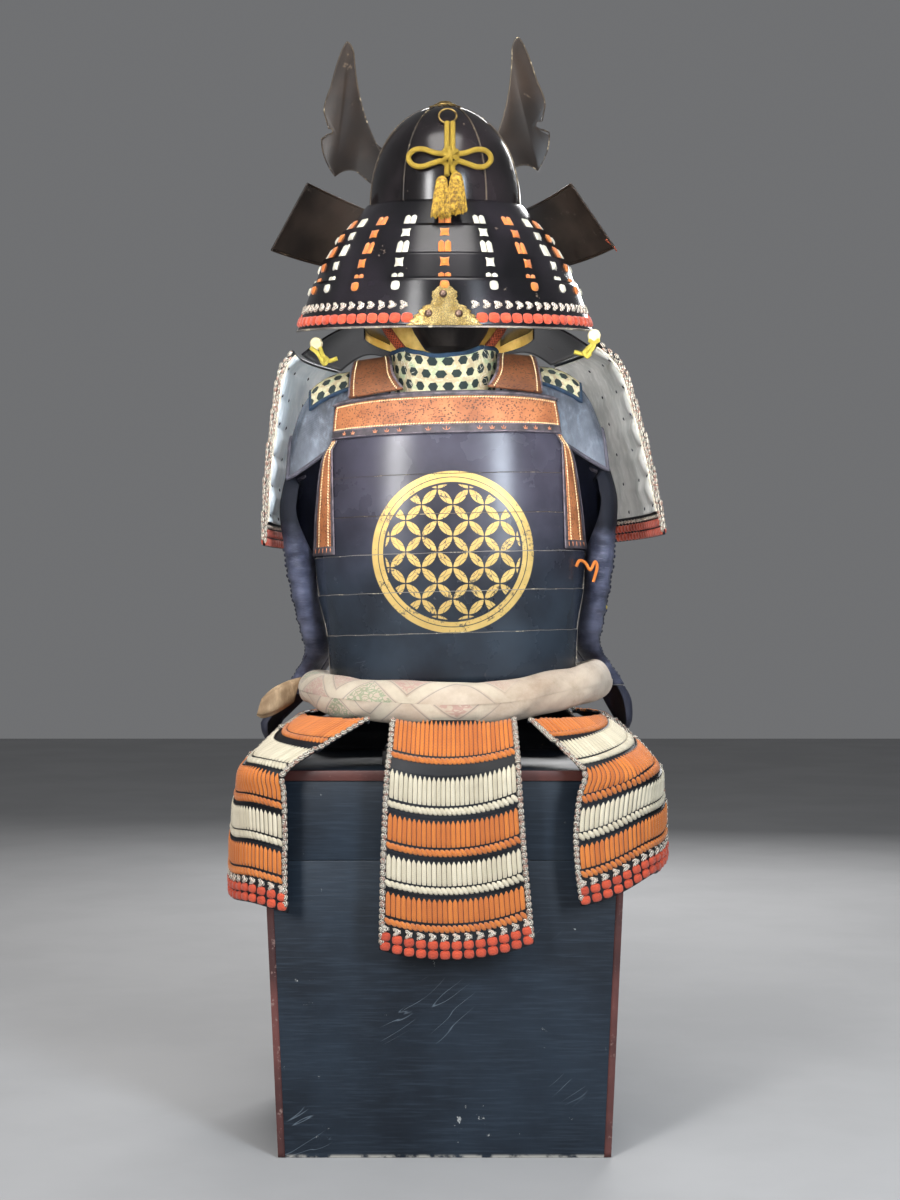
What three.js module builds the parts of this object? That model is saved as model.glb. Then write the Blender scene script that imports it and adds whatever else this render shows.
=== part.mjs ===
// A samurai armour standing on its armour chest: lacquered helmet, cuirass and laced skirts worn with
// cloth sleeves, a brocade sash and a quilted collar, carried inside by a plain dark stand.
// Millimetres, +Z up. The origin is the middle of the chest's foot, and the armour's back faces -Y.
import * as THREE from "three";

// ---------------------------------------------------------------- driving sizes

const GAP = 0.3; // between pieces that touch
const CLOTH = 2; // wall of worn cloth
const LEATHER = 1.6;
const IRON = 2.2; // lacquered plate

const CHEST = { footWidth: 448, footDepth: 394, width: 483, depth: 414, height: 402, board: 13, lap: 12 };
const LID = { width: 485, depth: 415, top: 523, board: 12 };
const MOULDING = { height: 14, proud: 3 };

// The cuirass and all that is worn with it lean a little to the left, about the middle of its lower rim.
const RIM = { x: 12, y: -30, z: 645, lean: -1.6 };

// The helmet is tipped back about the middle of its bowl's rim.
const HELMET = { y: 0, z: 1318, tip: 6.5 };
const BOWL = { halfWidth: 109.5, halfLength: 121, height: 148, wall: 2.5, hole: 11 };
const BOWL_SEAMS = [-160, -122, -77, -32, 32, 77, 122, 160]; // degrees from the middle of the back
const SEAM = { proud: 1.2, half: 1.6 };

const CUIRASS_POWER = 2.3; // how square the body is seen from above: 2 is an ellipse
const TASSETS = 7;
const TIE_DIAMETER = 4.5;
const RING = { radius: 12.5, wire: 1.5 };
const TOGGLE = { top: 8, foot: 10, height: 14 };
const TASSET = { halfTop: 84, halfFoot: 103, thickness: 3, arch: 12, start: 2 };
const SASH_POWER = 2.4;

const MATERIALS = {
  chest: { color: 0x1b2733, roughness: 0.55, metalness: 0 },
  moulding: { color: 0x5d3030, roughness: 0.5, metalness: 0 },
  stand: { color: 0x17161a, roughness: 0.6, metalness: 0 },
  lacquer: { color: 0x14161c, roughness: 0.3, metalness: 0.2 },
  horn: { color: 0x2c211b, roughness: 0.35, metalness: 0.2 },
  gilt: { color: 0xc9a24a, roughness: 0.35, metalness: 1 },
  gold_cord: { color: 0xc2a02f, roughness: 0.7, metalness: 0 },
  orange_silk: { color: 0xe07a1e, roughness: 0.7, metalness: 0 },
  red_silk: { color: 0x9c3a22, roughness: 0.8, metalness: 0 },
  leather: { color: 0xb0612e, roughness: 0.65, metalness: 0 },
  quilt: { color: 0xb9b08a, roughness: 0.85, metalness: 0 },
  blue_cloth: { color: 0x4e5766, roughness: 0.6, metalness: 0 },
  satin: { color: 0x4b5470, roughness: 0.45, metalness: 0 },
  navy_cloth: { color: 0x10131f, roughness: 0.75, metalness: 0 },
  pale_cloth: { color: 0xb4bcc0, roughness: 0.85, metalness: 0 },
  brocade: { color: 0xcfc0a4, roughness: 0.7, metalness: 0 },
  ivory: { color: 0xd9cfa8, roughness: 0.5, metalness: 0 },
};

// ---------------------------------------------------------------- tables of sections

// The cuirass seen from above at heights over its lower rim: half its width, and its depth behind and
// before the middle. edge is how far out the back and front plates reach beside the armhole.
const CUIRASS = [
  { z: -9, half: 174.5, back: 117.5, front: 117.5, edge: 174.5 },
  { z: 63, half: 178, back: 124, front: 126, edge: 178 },
  { z: 120, half: 188, back: 130, front: 134, edge: 188 },
  { z: 173, half: 192, back: 133, front: 138, edge: 192 },
  { z: 186, half: 191.5, back: 133, front: 139, edge: 189 },
  { z: 226, half: 190, back: 133, front: 140, edge: 186 },
  { z: 281, half: 186, back: 130, front: 136, edge: 179 },
  { z: 312, half: 183, back: 127, front: 131, edge: 172 },
  { z: 335, half: 180, back: 124, front: 126, edge: 158 },
  { z: 395, half: 172, back: 112, front: 108, edge: 155 },
];
const LAME_JOINTS = [-9, 63, 120, 173, 226, 281, 335]; // lower edges of the riveted lames, and the band's
const BACK_TOP = 393;
const FRONT_TOP = 352;
const NECK_DROP = 8; // the top edge is this much lower at its ends

// The neck guard seen from above, in the helmet's own frame: each row is the edge between two lames.
const NECK = [
  { z: 4, half: 113, back: 124.5, front: 125 },
  { z: -38, half: 148, back: 159, front: 134 },
  { z: -78, half: 175, back: 189, front: 151 },
  { z: -114.5, half: 191, back: 207, front: 165 },
  { z: -174, half: 215, back: 227, front: 181 },
];
const NECK_REACH = [118, 113, 107, 100]; // degrees from the middle of the back to a lame's front end
const NECK_LAP = 3.8; // a lame's top edge stands this far outside the lame above

// The fall line of the laced skirts, from the waist out over the chest's lid and down.
const SKIRT = [
  { z: 590, x: 12, half: 214, back: 206, front: 146, power: 2.5 },
  { z: 572, x: 11, half: 240, back: 220, front: 178, power: 3.3 },
  { z: 550, x: 10, half: 264, back: 238, front: 214, power: 4.8 },
  { z: 524, x: 8, half: 285, back: 258, front: 257, power: 7 },
  { z: 500, x: 7, half: 292, back: 259, front: 258, power: 5.8 },
  { z: 460, x: 6, half: 299, back: 259, front: 258, power: 4.8 },
  { z: 400, x: 5, half: 303, back: 259, front: 258, power: 4.4 },
  { z: 240, x: 5, half: 303, back: 258, front: 257, power: 4.4 },
];
// Lengths down the fall line at which the lames of a tasset begin, and where the last one ends.
const TASSET_LAMES = [0, 85, 142, 196, 245, 327];
// How each tasset hangs, from the middle of the back towards +X: moved along the waist, leaning sideways
// by its foot, bowed sideways at half its length, longer, and rising towards its +X side.
const TASSET_HANG = [
  { moved: 0, lean: 12, bow: 0, longer: 2, rise: 4 },
  { moved: 0, lean: 0, bow: -26, longer: -44, rise: 23 },
  { moved: 3, lean: -6, bow: 0, longer: -46, rise: -9 },
  { moved: -2, lean: 5, bow: 4, longer: 4, rise: 7 },
  { moved: 3, lean: -8, bow: 0, longer: -3, rise: -4 },
  { moved: -4, lean: 6, bow: 0, longer: -30, rise: 7 },
  { moved: -14, lean: -18, bow: 0, longer: -12, rise: -26 },
];

// The shoulder cap of the vest, from the neck outwards: its ridge, and its lower edge behind.
const VEST = [
  { x: 80, z: 438, edgeX: 80, edgeY: -84, edgeZ: 358 },
  { x: 106, z: 438, edgeX: 106, edgeY: -78, edgeZ: 344 },
  { x: 133, z: 436, edgeX: 132, edgeY: -68, edgeZ: 326 },
  { x: 160, z: 431, edgeX: 157, edgeY: -49, edgeZ: 310 },
  { x: 186, z: 416, edgeX: 187, edgeY: -42, edgeZ: 298 },
  { x: 207, z: 388, edgeX: 210, edgeY: -41, edgeZ: 290 },
  { x: 222, z: 348, edgeX: 227, edgeY: -38, edgeZ: 284 },
];
const VEST_REACH = 176; // degrees of the cap that each cross-section takes in

// Level sections down a sleeve: its middle, half its thickness outwards, half its width along the body,
// how far it is turned in towards the front, how much of it the cloth goes round, and how much higher
// its outer middle is than its edges.
const SLEEVE = [
  { z: 278, x: 208, y: -1, out: 15, along: 33, turn: 0, cover: 84, rise: 42 },
  { z: 262, x: 213, y: 1, out: 19, along: 44, turn: 0, cover: 90, rise: 30 },
  { z: 240, x: 219, y: 4, out: 22, along: 55, turn: 0, cover: 97, rise: 14 },
  { z: 216, x: 219, y: 6, out: 22, along: 60, turn: 0, cover: 112, rise: 6 },
  { z: 196, x: 217, y: 8, out: 20, along: 61, turn: 1, cover: 140, rise: 2 },
  { z: 174, x: 215, y: 10, out: 19, along: 61, turn: 2, cover: 179.4, rise: 0 },
  { z: 134, x: 210, y: 16, out: 17, along: 58, turn: 4, cover: 179.4, rise: 0 },
  { z: 96, x: 203, y: 26, out: 16, along: 52, turn: 8, cover: 179.4, rise: 0 },
  { z: 62, x: 195, y: 42, out: 16, along: 44, turn: 13, cover: 179.3, rise: 0 },
  { z: 36, x: 194, y: 60, out: 15, along: 36, turn: 20, cover: 179.3, rise: 0 },
  { z: 12, x: 209, y: 89, out: 15, along: 31, turn: 26, cover: 179.2, rise: 0 },
  { z: -6, x: 222, y: 98, out: 16, along: 30, turn: 28, cover: 179.2, rise: 0 },
  { z: -22, x: 231, y: 106, out: 17, along: 30, turn: 28, cover: 179.2, rise: 0 },
];
const SLEEVE_POWER = 2.5;

// Sections down the hand cover that hangs from a sleeve's wrist.
const HAND = [
  { z: -23, x: 231, y: 106, out: 17, along: 30, turn: 28 },
  { z: -42, x: 238, y: 106, out: 17, along: 37, turn: 20 },
  { z: -62, x: 242, y: 104, out: 14, along: 41, turn: 12 },
  { z: -76, x: 245, y: 102, out: 11, along: 37, turn: 8 },
  { z: -86, x: 246, y: 101, out: 8, along: 24, turn: 6 },
];

const HAND_SPREAD = { left: 27, right: 4 }; // how far out it hangs to clear the skirt

// Sections of the sash round the waist, by degrees from the middle of the back towards +X: half the
// roll's height and thickness, how far its middle lies from the body's, and its height.
const SASH = [
  { turn: -180, high: 28, thick: 28, out: 0, z: -22 },
  { turn: -135, high: 27, thick: 26, out: 3, z: -20 },
  { turn: -110, high: 24, thick: 23, out: 12, z: -12 },
  { turn: -88, high: 24, thick: 21, out: 16, z: -10 },
  { turn: -60, high: 28, thick: 26, out: 8, z: -18 },
  { turn: -25, high: 30, thick: 31, out: 0, z: -28 },
  { turn: 10, high: 31, thick: 31, out: 0, z: -34 },
  { turn: 45, high: 28, thick: 30, out: 4, z: -20 },
  { turn: 70, high: 29, thick: 24, out: 15, z: -12 },
  { turn: 90, high: 28, thick: 20, out: 19, z: -10 },
  { turn: 112, high: 26, thick: 19, out: 8, z: -12 },
  { turn: 145, high: 27, thick: 27, out: 4, z: -18 },
  { turn: 180, high: 28, thick: 28, out: 0, z: -22 },
];
const SASH_PATH = { half: 185, back: 150, front: 150 };

// A horn's outline from the pair's middle: x outwards, z over the bowl's rim.
const HORN = { thickness: 2.6, x: -11, y: 156, roll: -1.6, notch: { left: 4.5, right: 7 } };

// A shoulder guard hangs from the shoulder: its top edge, its width, its turn forwards and its bulge, and
// how far out each one stands behind at heights below its top.
const GUARD = { top: 466, width: 262, back: -52, yaw: 12, bulge: 13 };
const GUARD_FALL = [
  { down: 0, left: 213, right: 217 },
  { down: 18, left: 228, right: 239 },
  { down: 42, left: 236, right: 254 },
  { down: 110, left: 245, right: 271 },
  { down: 180, left: 254, right: 286 },
  { down: 274, left: 261, right: 302 },
];
const TOGGLE_X = { left: 181, right: 213 };
const GUARD_LAMES = [0, 18, 42, 82, 130, 178, 226, 274];

// ---------------------------------------------------------------- shared geometry

const rad = THREE.MathUtils.degToRad;
const lerp = THREE.MathUtils.lerp;
const clamp = THREE.MathUtils.clamp;
const vec = (x, y, z) => new THREE.Vector3(x, y, z);
const power = (value, exponent) => Math.sign(value) * Math.abs(value) ** exponent;

// The numbers from one value to another in equal steps.
function steps(from, to, count) {
  return Array.from({ length: count + 1 }, (_, i) => lerp(from, to, i / count));
}

// The row that lies at a place between a table's rows. Its columns follow smooth curves.
function rowAt(table, by, place) {
  const rising = table[table.length - 1][by] > table[0][by];
  const ahead = (row) => (rising ? row[by] > place : row[by] < place);
  let i = table.findIndex(ahead);
  if (i < 0) i = table.length - 1;
  i = Math.max(i, 1);
  const [b, c] = [table[i - 1], table[i]];
  const [a, d] = [table[Math.max(i - 2, 0)], table[Math.min(i + 1, table.length - 1)]];
  const span = c[by] - b[by];
  const t = clamp((place - b[by]) / span, 0, 1);
  const row = {};
  for (const key of Object.keys(b)) {
    const into = a === b ? c[key] - b[key] : ((c[key] - a[key]) * span) / (c[by] - a[by]);
    const out = c === d ? c[key] - b[key] : ((d[key] - b[key]) * span) / (d[by] - b[by]);
    row[key] =
      b[key] * (1 + 2 * t) * (1 - t) ** 2 +
      into * t * (1 - t) ** 2 +
      c[key] * t * t * (3 - 2 * t) -
      out * t * t * (1 - t);
  }
  return row;
}

// A point on a rounded ring seen from above. angle is in radians from its back towards +X.
function ringPoint(half, back, front, exponent, angle, z, x = 0) {
  const depth = Math.cos(angle) > 0 ? back : front;
  return vec(
    x + half * power(Math.sin(angle), 2 / exponent),
    -depth * power(Math.cos(angle), 2 / exponent),
    z,
  );
}

function meshOf(points, index) {
  const corner = (i) => vec(points[3 * i], points[3 * i + 1], points[3 * i + 2]);
  let volume = 0;
  for (let i = 0; i < index.length; i += 3) {
    const [a, b, c] = [corner(index[i]), corner(index[i + 1]), corner(index[i + 2])];
    volume += a.dot(b.cross(c));
  }
  if (volume < 0) index.reverse();
  const geometry = new THREE.BufferGeometry();
  geometry.setAttribute("position", new THREE.Float32BufferAttribute(points, 3));
  geometry.setIndex(index);
  return geometry;
}

// A closed wall between two sheets of points, with a row for each u and a column for each v.
function wall(us, vs, outer, inner, closed = false) {
  const points = [];
  for (const sheet of [outer, inner]) {
    for (const u of us) {
      for (const v of vs) points.push(...sheet(u, v).toArray());
    }
  }
  const columns = vs.length;
  const half = us.length * columns;
  const end = columns - 1;
  const index = [];
  const quad = (a, b, c, d) => index.push(a, b, c, a, c, d);
  for (let i = 0; i < us.length - (closed ? 0 : 1); i++) {
    const here = i * columns;
    const next = ((i + 1) % us.length) * columns;
    for (let j = 0; j < end; j++) {
      quad(here + j, next + j, next + j + 1, here + j + 1);
      quad(half + here + j, half + here + j + 1, half + next + j + 1, half + next + j);
    }
    quad(here, half + here, half + next, next);
    quad(here + end, next + end, half + next + end, half + here + end);
  }
  const last = half - columns;
  for (let j = 0; j < end && !closed; j++) {
    quad(j, j + 1, half + j + 1, half + j);
    quad(last + j, half + last + j, half + last + j + 1, last + j + 1);
  }
  return meshOf(points, index);
}

// The sheet that lies a distance off another, measured square to it. Away from a middle counts as out.
function offset(sheet, distance, middle) {
  const small = 1e-3;
  return (u, v) => {
    const at = sheet(u, v);
    const alongU = sheet(u + small, v).sub(sheet(u - small, v));
    const alongV = sheet(u, v + small).sub(sheet(u, v - small));
    const normal = alongU.cross(alongV).normalize();
    if (normal.dot(at.clone().sub(middle)) < 0) normal.negate();
    const by = typeof distance === "function" ? distance(u, v) : distance;
    return at.addScaledVector(normal, by);
  };
}

// A closed solid through level loops of points, each loop joined to the next and both ends capped.
function loft(loops) {
  const count = loops[0].length;
  const points = loops.flat().flatMap((p) => p.toArray());
  const index = [];
  for (let i = 0; i < loops.length - 1; i++) {
    for (let j = 0; j < count; j++) {
      const k = (j + 1) % count;
      const [a, b, c, d] = [i * count + j, i * count + k, (i + 1) * count + k, (i + 1) * count + j];
      index.push(a, b, c, a, c, d);
    }
  }
  const last = (loops.length - 1) * count;
  for (let j = 1; j < count - 1; j++) {
    index.push(0, j + 1, j);
    index.push(last, last + j, last + j + 1);
  }
  return meshOf(points, index);
}

// A box-shaped turning: each row of the profile is a level rectangle of a width, a depth and a height.
function boxTurned(profile) {
  const corners = [[-1, -1], [1, -1], [1, 1], [-1, 1]];
  return loft(profile.map(([w, d, z]) => corners.map(([i, j]) => vec((i * w) / 2, (j * d) / 2, z))));
}

// A level frame of four sides with a rectangular section.
function boxFrame(inner, outer, low, high) {
  const corners = [[-1, -1], [1, -1], [1, 1], [-1, 1]];
  const side = ([w, d], z) => corners.map(([i, j]) => vec((i * w) / 2, (j * d) / 2, z));
  const rings = [side(outer, low), side(outer, high)];
  const holes = [side(inner, low), side(inner, high)];
  return wall([0, 1, 2, 3], [0, 1], (u, v) => rings[v][u].clone(), (u, v) => holes[v][u].clone(), true);
}

function tube(points, diameter, pieces, sides = 8) {
  const section = new THREE.Shape();
  for (let i = 0; i < sides; i++) {
    const angle = (2 * Math.PI * i) / sides;
    const [x, y] = [(Math.cos(angle) * diameter) / 2, (Math.sin(angle) * diameter) / 2];
    if (i) section.lineTo(x, y);
    else section.moveTo(x, y);
  }
  const extrudePath = new THREE.CatmullRomCurve3(points, false, "centripetal");
  return new THREE.ExtrudeGeometry(section, { steps: pieces, bevelEnabled: false, extrudePath });
}

function add(group, name, geometry, material) {
  const mesh = new THREE.Mesh(geometry, new THREE.MeshStandardMaterial(MATERIALS[material]));
  mesh.name = name;
  group.add(mesh);
  return mesh;
}

const SIDES = [
  { name: "left", sign: -1 },
  { name: "right", sign: 1 },
];
const mirrored = (sheet, sign) => (u, v) => {
  const p = sheet(u, v);
  p.x *= sign;
  return p;
};

// ---------------------------------------------------------------- chest

function chest(group) {
  const { footWidth, footDepth, width, depth, height, board, lap } = CHEST;
  const half = board; // the lip takes half the board on every side, so a whole board off the width
  add(group, "chest_body", boxTurned([
    [footWidth, footDepth, 0],
    [width, depth, height],
    [width - half, depth - half, height],
    [width - half, depth - half, height + lap],
    [width - 2 * board, depth - 2 * board, height + lap],
    [footWidth - 2 * board, footDepth - 2 * board, board],
  ]), "chest");
  const foot = height + GAP;
  const rebate = [width - half + 2 * GAP, depth - half + 2 * GAP];
  add(group, "chest_lid", boxTurned([
    [LID.width, LID.depth, LID.top],
    [width, depth, foot],
    [...rebate, foot],
    [...rebate, foot + lap + GAP],
    [width - 2 * LID.board, depth - 2 * LID.board, foot + lap + GAP],
    [width - 2 * LID.board, depth - 2 * LID.board, LID.top - LID.board],
  ]), "chest");
  const inner = [LID.width + 2 * GAP, LID.depth + 2 * GAP];
  const outer = inner.map((side) => side + 2 * MOULDING.proud);
  add(group, "lid_moulding", boxFrame(inner, outer, LID.top - MOULDING.height, LID.top), "moulding");
}

// ---------------------------------------------------------------- stand

const BOARD = { width: 190, depth: 170, height: 20 };
const BAR = { width: 232, depth: 24, height: 44, z: 1026 };
const POST = { x: 8, y: -30, radius: 21, headRadius: 66, headHigh: 1442 };

function stand(group) {
  const floor = LID.top + GAP;
  const base = new THREE.BoxGeometry(BOARD.width, BOARD.depth, BOARD.height);
  const board = add(group, "stand_base", base, "stand");
  board.position.set(POST.x, POST.y, floor + BOARD.height / 2);
  const foot = floor + BOARD.height + GAP;
  // The head is narrow below, between the chin cords, and widens up into the helmet.
  const profile = [
    [0, foot],
    [POST.radius, foot],
    [POST.radius, 1106],
    [37, 1113],
    [52, 1136],
    [POST.headRadius, 1168],
    [POST.headRadius, POST.headHigh - 70],
    [POST.headRadius * 0.86, POST.headHigh - 34],
    [POST.headRadius * 0.5, POST.headHigh - 8],
    [0, POST.headHigh],
  ];
  const turned = new THREE.LatheGeometry(profile.map(([r, z]) => new THREE.Vector2(r, z)), 20);
  turned.rotateX(Math.PI / 2);
  const post = add(group, "stand_post", turned, "stand");
  post.position.set(POST.x, POST.y, 0);
  const bar = add(group, "stand_bar", new THREE.BoxGeometry(BAR.width, BAR.depth, BAR.height), "stand");
  bar.position.set(POST.x, POST.y + POST.radius + GAP + BAR.depth / 2 + 0.2, BAR.z);
}

// ---------------------------------------------------------------- helmet

// The bowl's outer surface: angle in degrees from the middle of the back, rise from 0 at the rim to 1.
function bowlSheet(angle, rise) {
  const share = Math.sqrt(Math.max(0, 1 - Math.abs(rise) ** 2.2));
  const a = rad(angle);
  return vec(
    BOWL.halfWidth * share * Math.sin(a),
    -BOWL.halfLength * share * Math.cos(a),
    BOWL.height * rise,
  );
}

function helmetBowl(group) {
  const middle = vec(0, 0, -40);
  const angles = [];
  BOWL_SEAMS.forEach((seam, i) => {
    const next = i + 1 < BOWL_SEAMS.length ? BOWL_SEAMS[i + 1] : BOWL_SEAMS[0] + 360;
    angles.push(seam - SEAM.half, seam, seam + SEAM.half);
    const pieces = Math.round((next - seam) / 19);
    angles.push(...steps(seam, next, pieces).slice(1, -1));
  });
  const top = (1 - (BOWL.hole / BOWL.halfWidth) ** 2) ** (1 / 2.2);
  const rises = [0, 0.22, 0.42, 0.6, 0.75, 0.87, 0.95, top];
  const proud = (angle) => (BOWL_SEAMS.includes(angle) ? SEAM.proud : 0);
  const outer = offset(bowlSheet, (angle) => proud(angle), middle);
  const inner = offset(bowlSheet, -BOWL.wall, middle);
  add(group, "helmet_bowl", wall(angles, rises, outer, inner, true), "lacquer");

  const ring = [[7.5, 0.8], [16, -0.6], [16, 1], [12, 3], [8.5, 5], [6.5, 5.5], [5.5, 4]];
  const fitting = new THREE.LatheGeometry([...ring, ring[0]].map(([r, z]) => new THREE.Vector2(r, z)), 12);
  fitting.rotateX(Math.PI / 2);
  const crown = add(group, "crown_fitting", fitting, "gilt");
  crown.position.z = BOWL.height + 1.5;
}

const neckRow = (index) => NECK[clamp(index, 0, NECK.length - 1)];

// A lame of the neck guard: angle in degrees from the middle of the back, fall from 0 at its top edge.
function neckSheet(lame) {
  const [top, foot] = [neckRow(lame - 1), neckRow(lame)];
  return (angle, fall) => {
    const half = lerp(top.half, foot.half, fall);
    const back = lerp(top.back, foot.back, fall);
    const front = lerp(top.front, foot.front, fall);
    return ringPoint(half, back, front, 2, rad(angle), lerp(top.z, foot.z, fall));
  };
}

function neckGuard(group) {
  const middle = vec(0, 0, -300);
  for (let lame = 1; lame <= 4; lame++) {
    const sheet = neckSheet(lame);
    const reach = NECK_REACH[lame - 1];
    const angles = steps(-reach, reach, 22);
    const rounded = (angle) => (lame === 4 ? 0.5 * clamp((Math.abs(angle) - reach + 18) / 18, 0, 1) ** 2 : 0);
    const lapped = lame === 1 ? 0 : -0.12;
    const place = (angle, fall) => sheet(angle, lerp(lapped, 1 - rounded(angle), fall));
    const stand = (angle, fall) => NECK_LAP * (1 - fall) * (lame === 1 ? 0.3 : 1);
    const outer = offset(place, stand, middle);
    const inner = offset(place, (angle, fall) => stand(angle, fall) - IRON, middle);
    add(group, `neck_lame_${lame}`, wall(angles, [0, 0.5, 1], outer, inner), "lacquer");
  }
  // The gilt plate over the middle of the lowest lame: half its width at shares of its height.
  const fitting = [
    { rise: 0.02, half: 13.2 },
    { rise: 0.12, half: 12.6 },
    { rise: 0.3, half: 9.8 },
    { rise: 0.42, half: 8.2 },
    { rise: 0.5, half: 5.4 },
    { rise: 0.62, half: 4.6 },
    { rise: 0.72, half: 4.9 },
    { rise: 0.82, half: 3.6 },
    { rise: 0.92, half: 1.2 },
  ];
  const lowest = neckSheet(4);
  const onLame = (u, v) => lowest(u * rowAt(fitting, "rise", v).half, 1 - v);
  const under = (u, v) => NECK_LAP * v + 0.6;
  const outer = offset(onLame, (u, v) => under(u, v) + 1.4, middle);
  const rises = fitting.map((row) => row.rise);
  const plate = wall([-1, -0.5, 0, 0.5, 1], rises, outer, offset(onLame, under, middle));
  add(group, "back_fitting", plate, "gilt");
}

function helmetFront(group) {
  const middle = vec(0, 0, 300);
  const reach = 60;
  const brim = (angle, out) => {
    const a = rad(180 - angle);
    const wide = 46 * Math.cos((rad(angle) * 90) / reach) ** 0.8 + 2;
    const base = ringPoint(BOWL.halfWidth + 2, BOWL.halfLength + 2, BOWL.halfLength + 2, 2, a, -2);
    const away = vec(base.x, base.y, 0).normalize();
    return base.addScaledVector(away, wide * out).add(vec(0, 0, -14 * out * out));
  };
  const under = offset(brim, -IRON, middle);
  add(group, "visor", wall(steps(-reach + 2, reach - 2, 16), [0, 0.5, 1], brim, under), "lacquer");

  // The turned-back ends of the neck guard: inner edge, middle and outer edge, each from top to foot.
  const curve = [
    [vec(110, 64, 4), vec(152, 92, -78)],
    [vec(152, 82, 22), vec(206, 104, -68)],
  ];
  const outerEdge = {
    left: [vec(201, 28, 42), vec(254, 26, -54)],
    right: [vec(184, 30, 42), vec(248, 26, -50)],
  };
  const wingOf = (name) => (u, v) => {
    const [a, b, c] = [...curve, outerEdge[name]].map(([top, foot]) => top.clone().lerp(foot, v));
    return a.multiplyScalar((1 - u) ** 2).addScaledVector(b, 2 * u * (1 - u)).addScaledVector(c, u * u);
  };
  for (const { name, sign } of SIDES) {
    const wing = wingOf(name);
    const outer = mirrored(wing, sign);
    const back = mirrored(offset(wing, -IRON, vec(60, -200, -20)), sign);
    add(group, `turnback_${name}`, wall(steps(0, 1, 8), steps(0, 1, 4), outer, back), "lacquer");
  }
}

// A horn stands on the bracket before the bowl: a flat blade with a round notch in its outer edge.
function hornOutline(notch) {
  const shape = new THREE.Shape();
  shape.moveTo(4, 24);
  shape.lineTo(4, 62);
  shape.quadraticCurveTo(70, 84, 96, 150);
  shape.quadraticCurveTo(119, 205, 121, 277);
  shape.quadraticCurveTo(124, 292, 131, 295);
  shape.quadraticCurveTo(142, 284, 158, 226);
  shape.quadraticCurveTo(170, 200, 169, 188);
  shape.lineTo(165, 168);
  shape.absarc(161, 159, notch, rad(66), rad(300), false);
  shape.quadraticCurveTo(174, 148, 175, 136);
  shape.quadraticCurveTo(176, 112, 155, 90);
  shape.quadraticCurveTo(140, 104, 122, 97);
  shape.quadraticCurveTo(66, 46, 34, 26);
  shape.closePath();
  return shape;
}

function horns(group) {
  const pair = new THREE.Group();
  pair.position.set(HORN.x, HORN.y, HELMET.z);
  pair.rotation.y = rad(HORN.roll);
  group.add(pair);
  for (const { name, sign } of SIDES) {
    const shape = hornOutline(HORN.notch[name]);
    const cut = { depth: HORN.thickness, bevelEnabled: false, curveSegments: 6 };
    const blade = new THREE.ExtrudeGeometry(shape, cut);
    blade.rotateX(Math.PI / 2);
    if (sign < 0) blade.rotateZ(Math.PI);
    const mesh = add(pair, `horn_${name}`, blade, "horn");
    mesh.position.y = sign < 0 ? -HORN.thickness : 0;
  }
  // A tapering plate behind the horns' roots, standing on the visor.
  const plate = new THREE.Shape();
  plate.moveTo(-26, 16);
  plate.lineTo(26, 16);
  plate.lineTo(32, 30);
  plate.lineTo(20, 66);
  plate.lineTo(-20, 66);
  plate.lineTo(-32, 30);
  plate.closePath();
  const bracket = new THREE.ExtrudeGeometry(plate, { depth: 4, bevelEnabled: false });
  bracket.rotateX(Math.PI / 2);
  const mesh = add(pair, "horn_bracket", bracket, "lacquer");
  mesh.position.y = -HORN.thickness - GAP;
}

// ---------------------------------------------------------------- the silk bow on the helmet

// A place a distance off the bowl's back or the neck guard below it: x across, z over the rim.
function onBack(x, z, off) {
  const first = neckRow(1);
  if (z < 4) {
    const fall = clamp((4 - z) / (4 - first.z), 0, 1);
    const back = lerp(neckRow(0).back, first.back, fall) + 2;
    return vec(x, -back - off * 0.8, z + off * 0.6);
  }
  const rise = z / BOWL.height;
  const back = BOWL.halfLength * Math.sqrt(Math.max(0, 1 - rise ** 2.2)) + off;
  const round = Math.sqrt(Math.max(0, 1 - (x / (BOWL.halfWidth + 6)) ** 2));
  return vec(x, -back * round, z + off * 0.3 * rise);
}

// The left cord's route over the bowl: x, z and how far its middle is off the surface.
const BOW = { diameter: 7.5, middle: 7, up: 7, knotZ: 55 };
const BOW_ROUTE = [
  { x: -4.1, z: 104, off: 8 },
  { x: -4.1, z: 92, off: 7 },
  { x: -4.1, z: 78, off: 6 },
  { x: -4.4, z: 67, off: 6 },
  { x: -10, z: 60, off: 6 },
  { x: -22, z: 61, off: 6 },
  { x: -36, z: 66, off: 6 },
  { x: -48, z: 66, off: 6 },
  { x: -56, z: 60, off: 6 },
  { x: -57, z: 52, off: 6 },
  { x: -50, z: 44, off: 6 },
  { x: -38, z: 42, off: 6 },
  { x: -24, z: 46, off: 6 },
  { x: -12, z: 49, off: 6 },
  { x: -4.6, z: 44, off: 6 },
  { x: -4.1, z: 36, off: 6.5 },
  { x: -4.1, z: 29, off: 8 },
];

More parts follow.
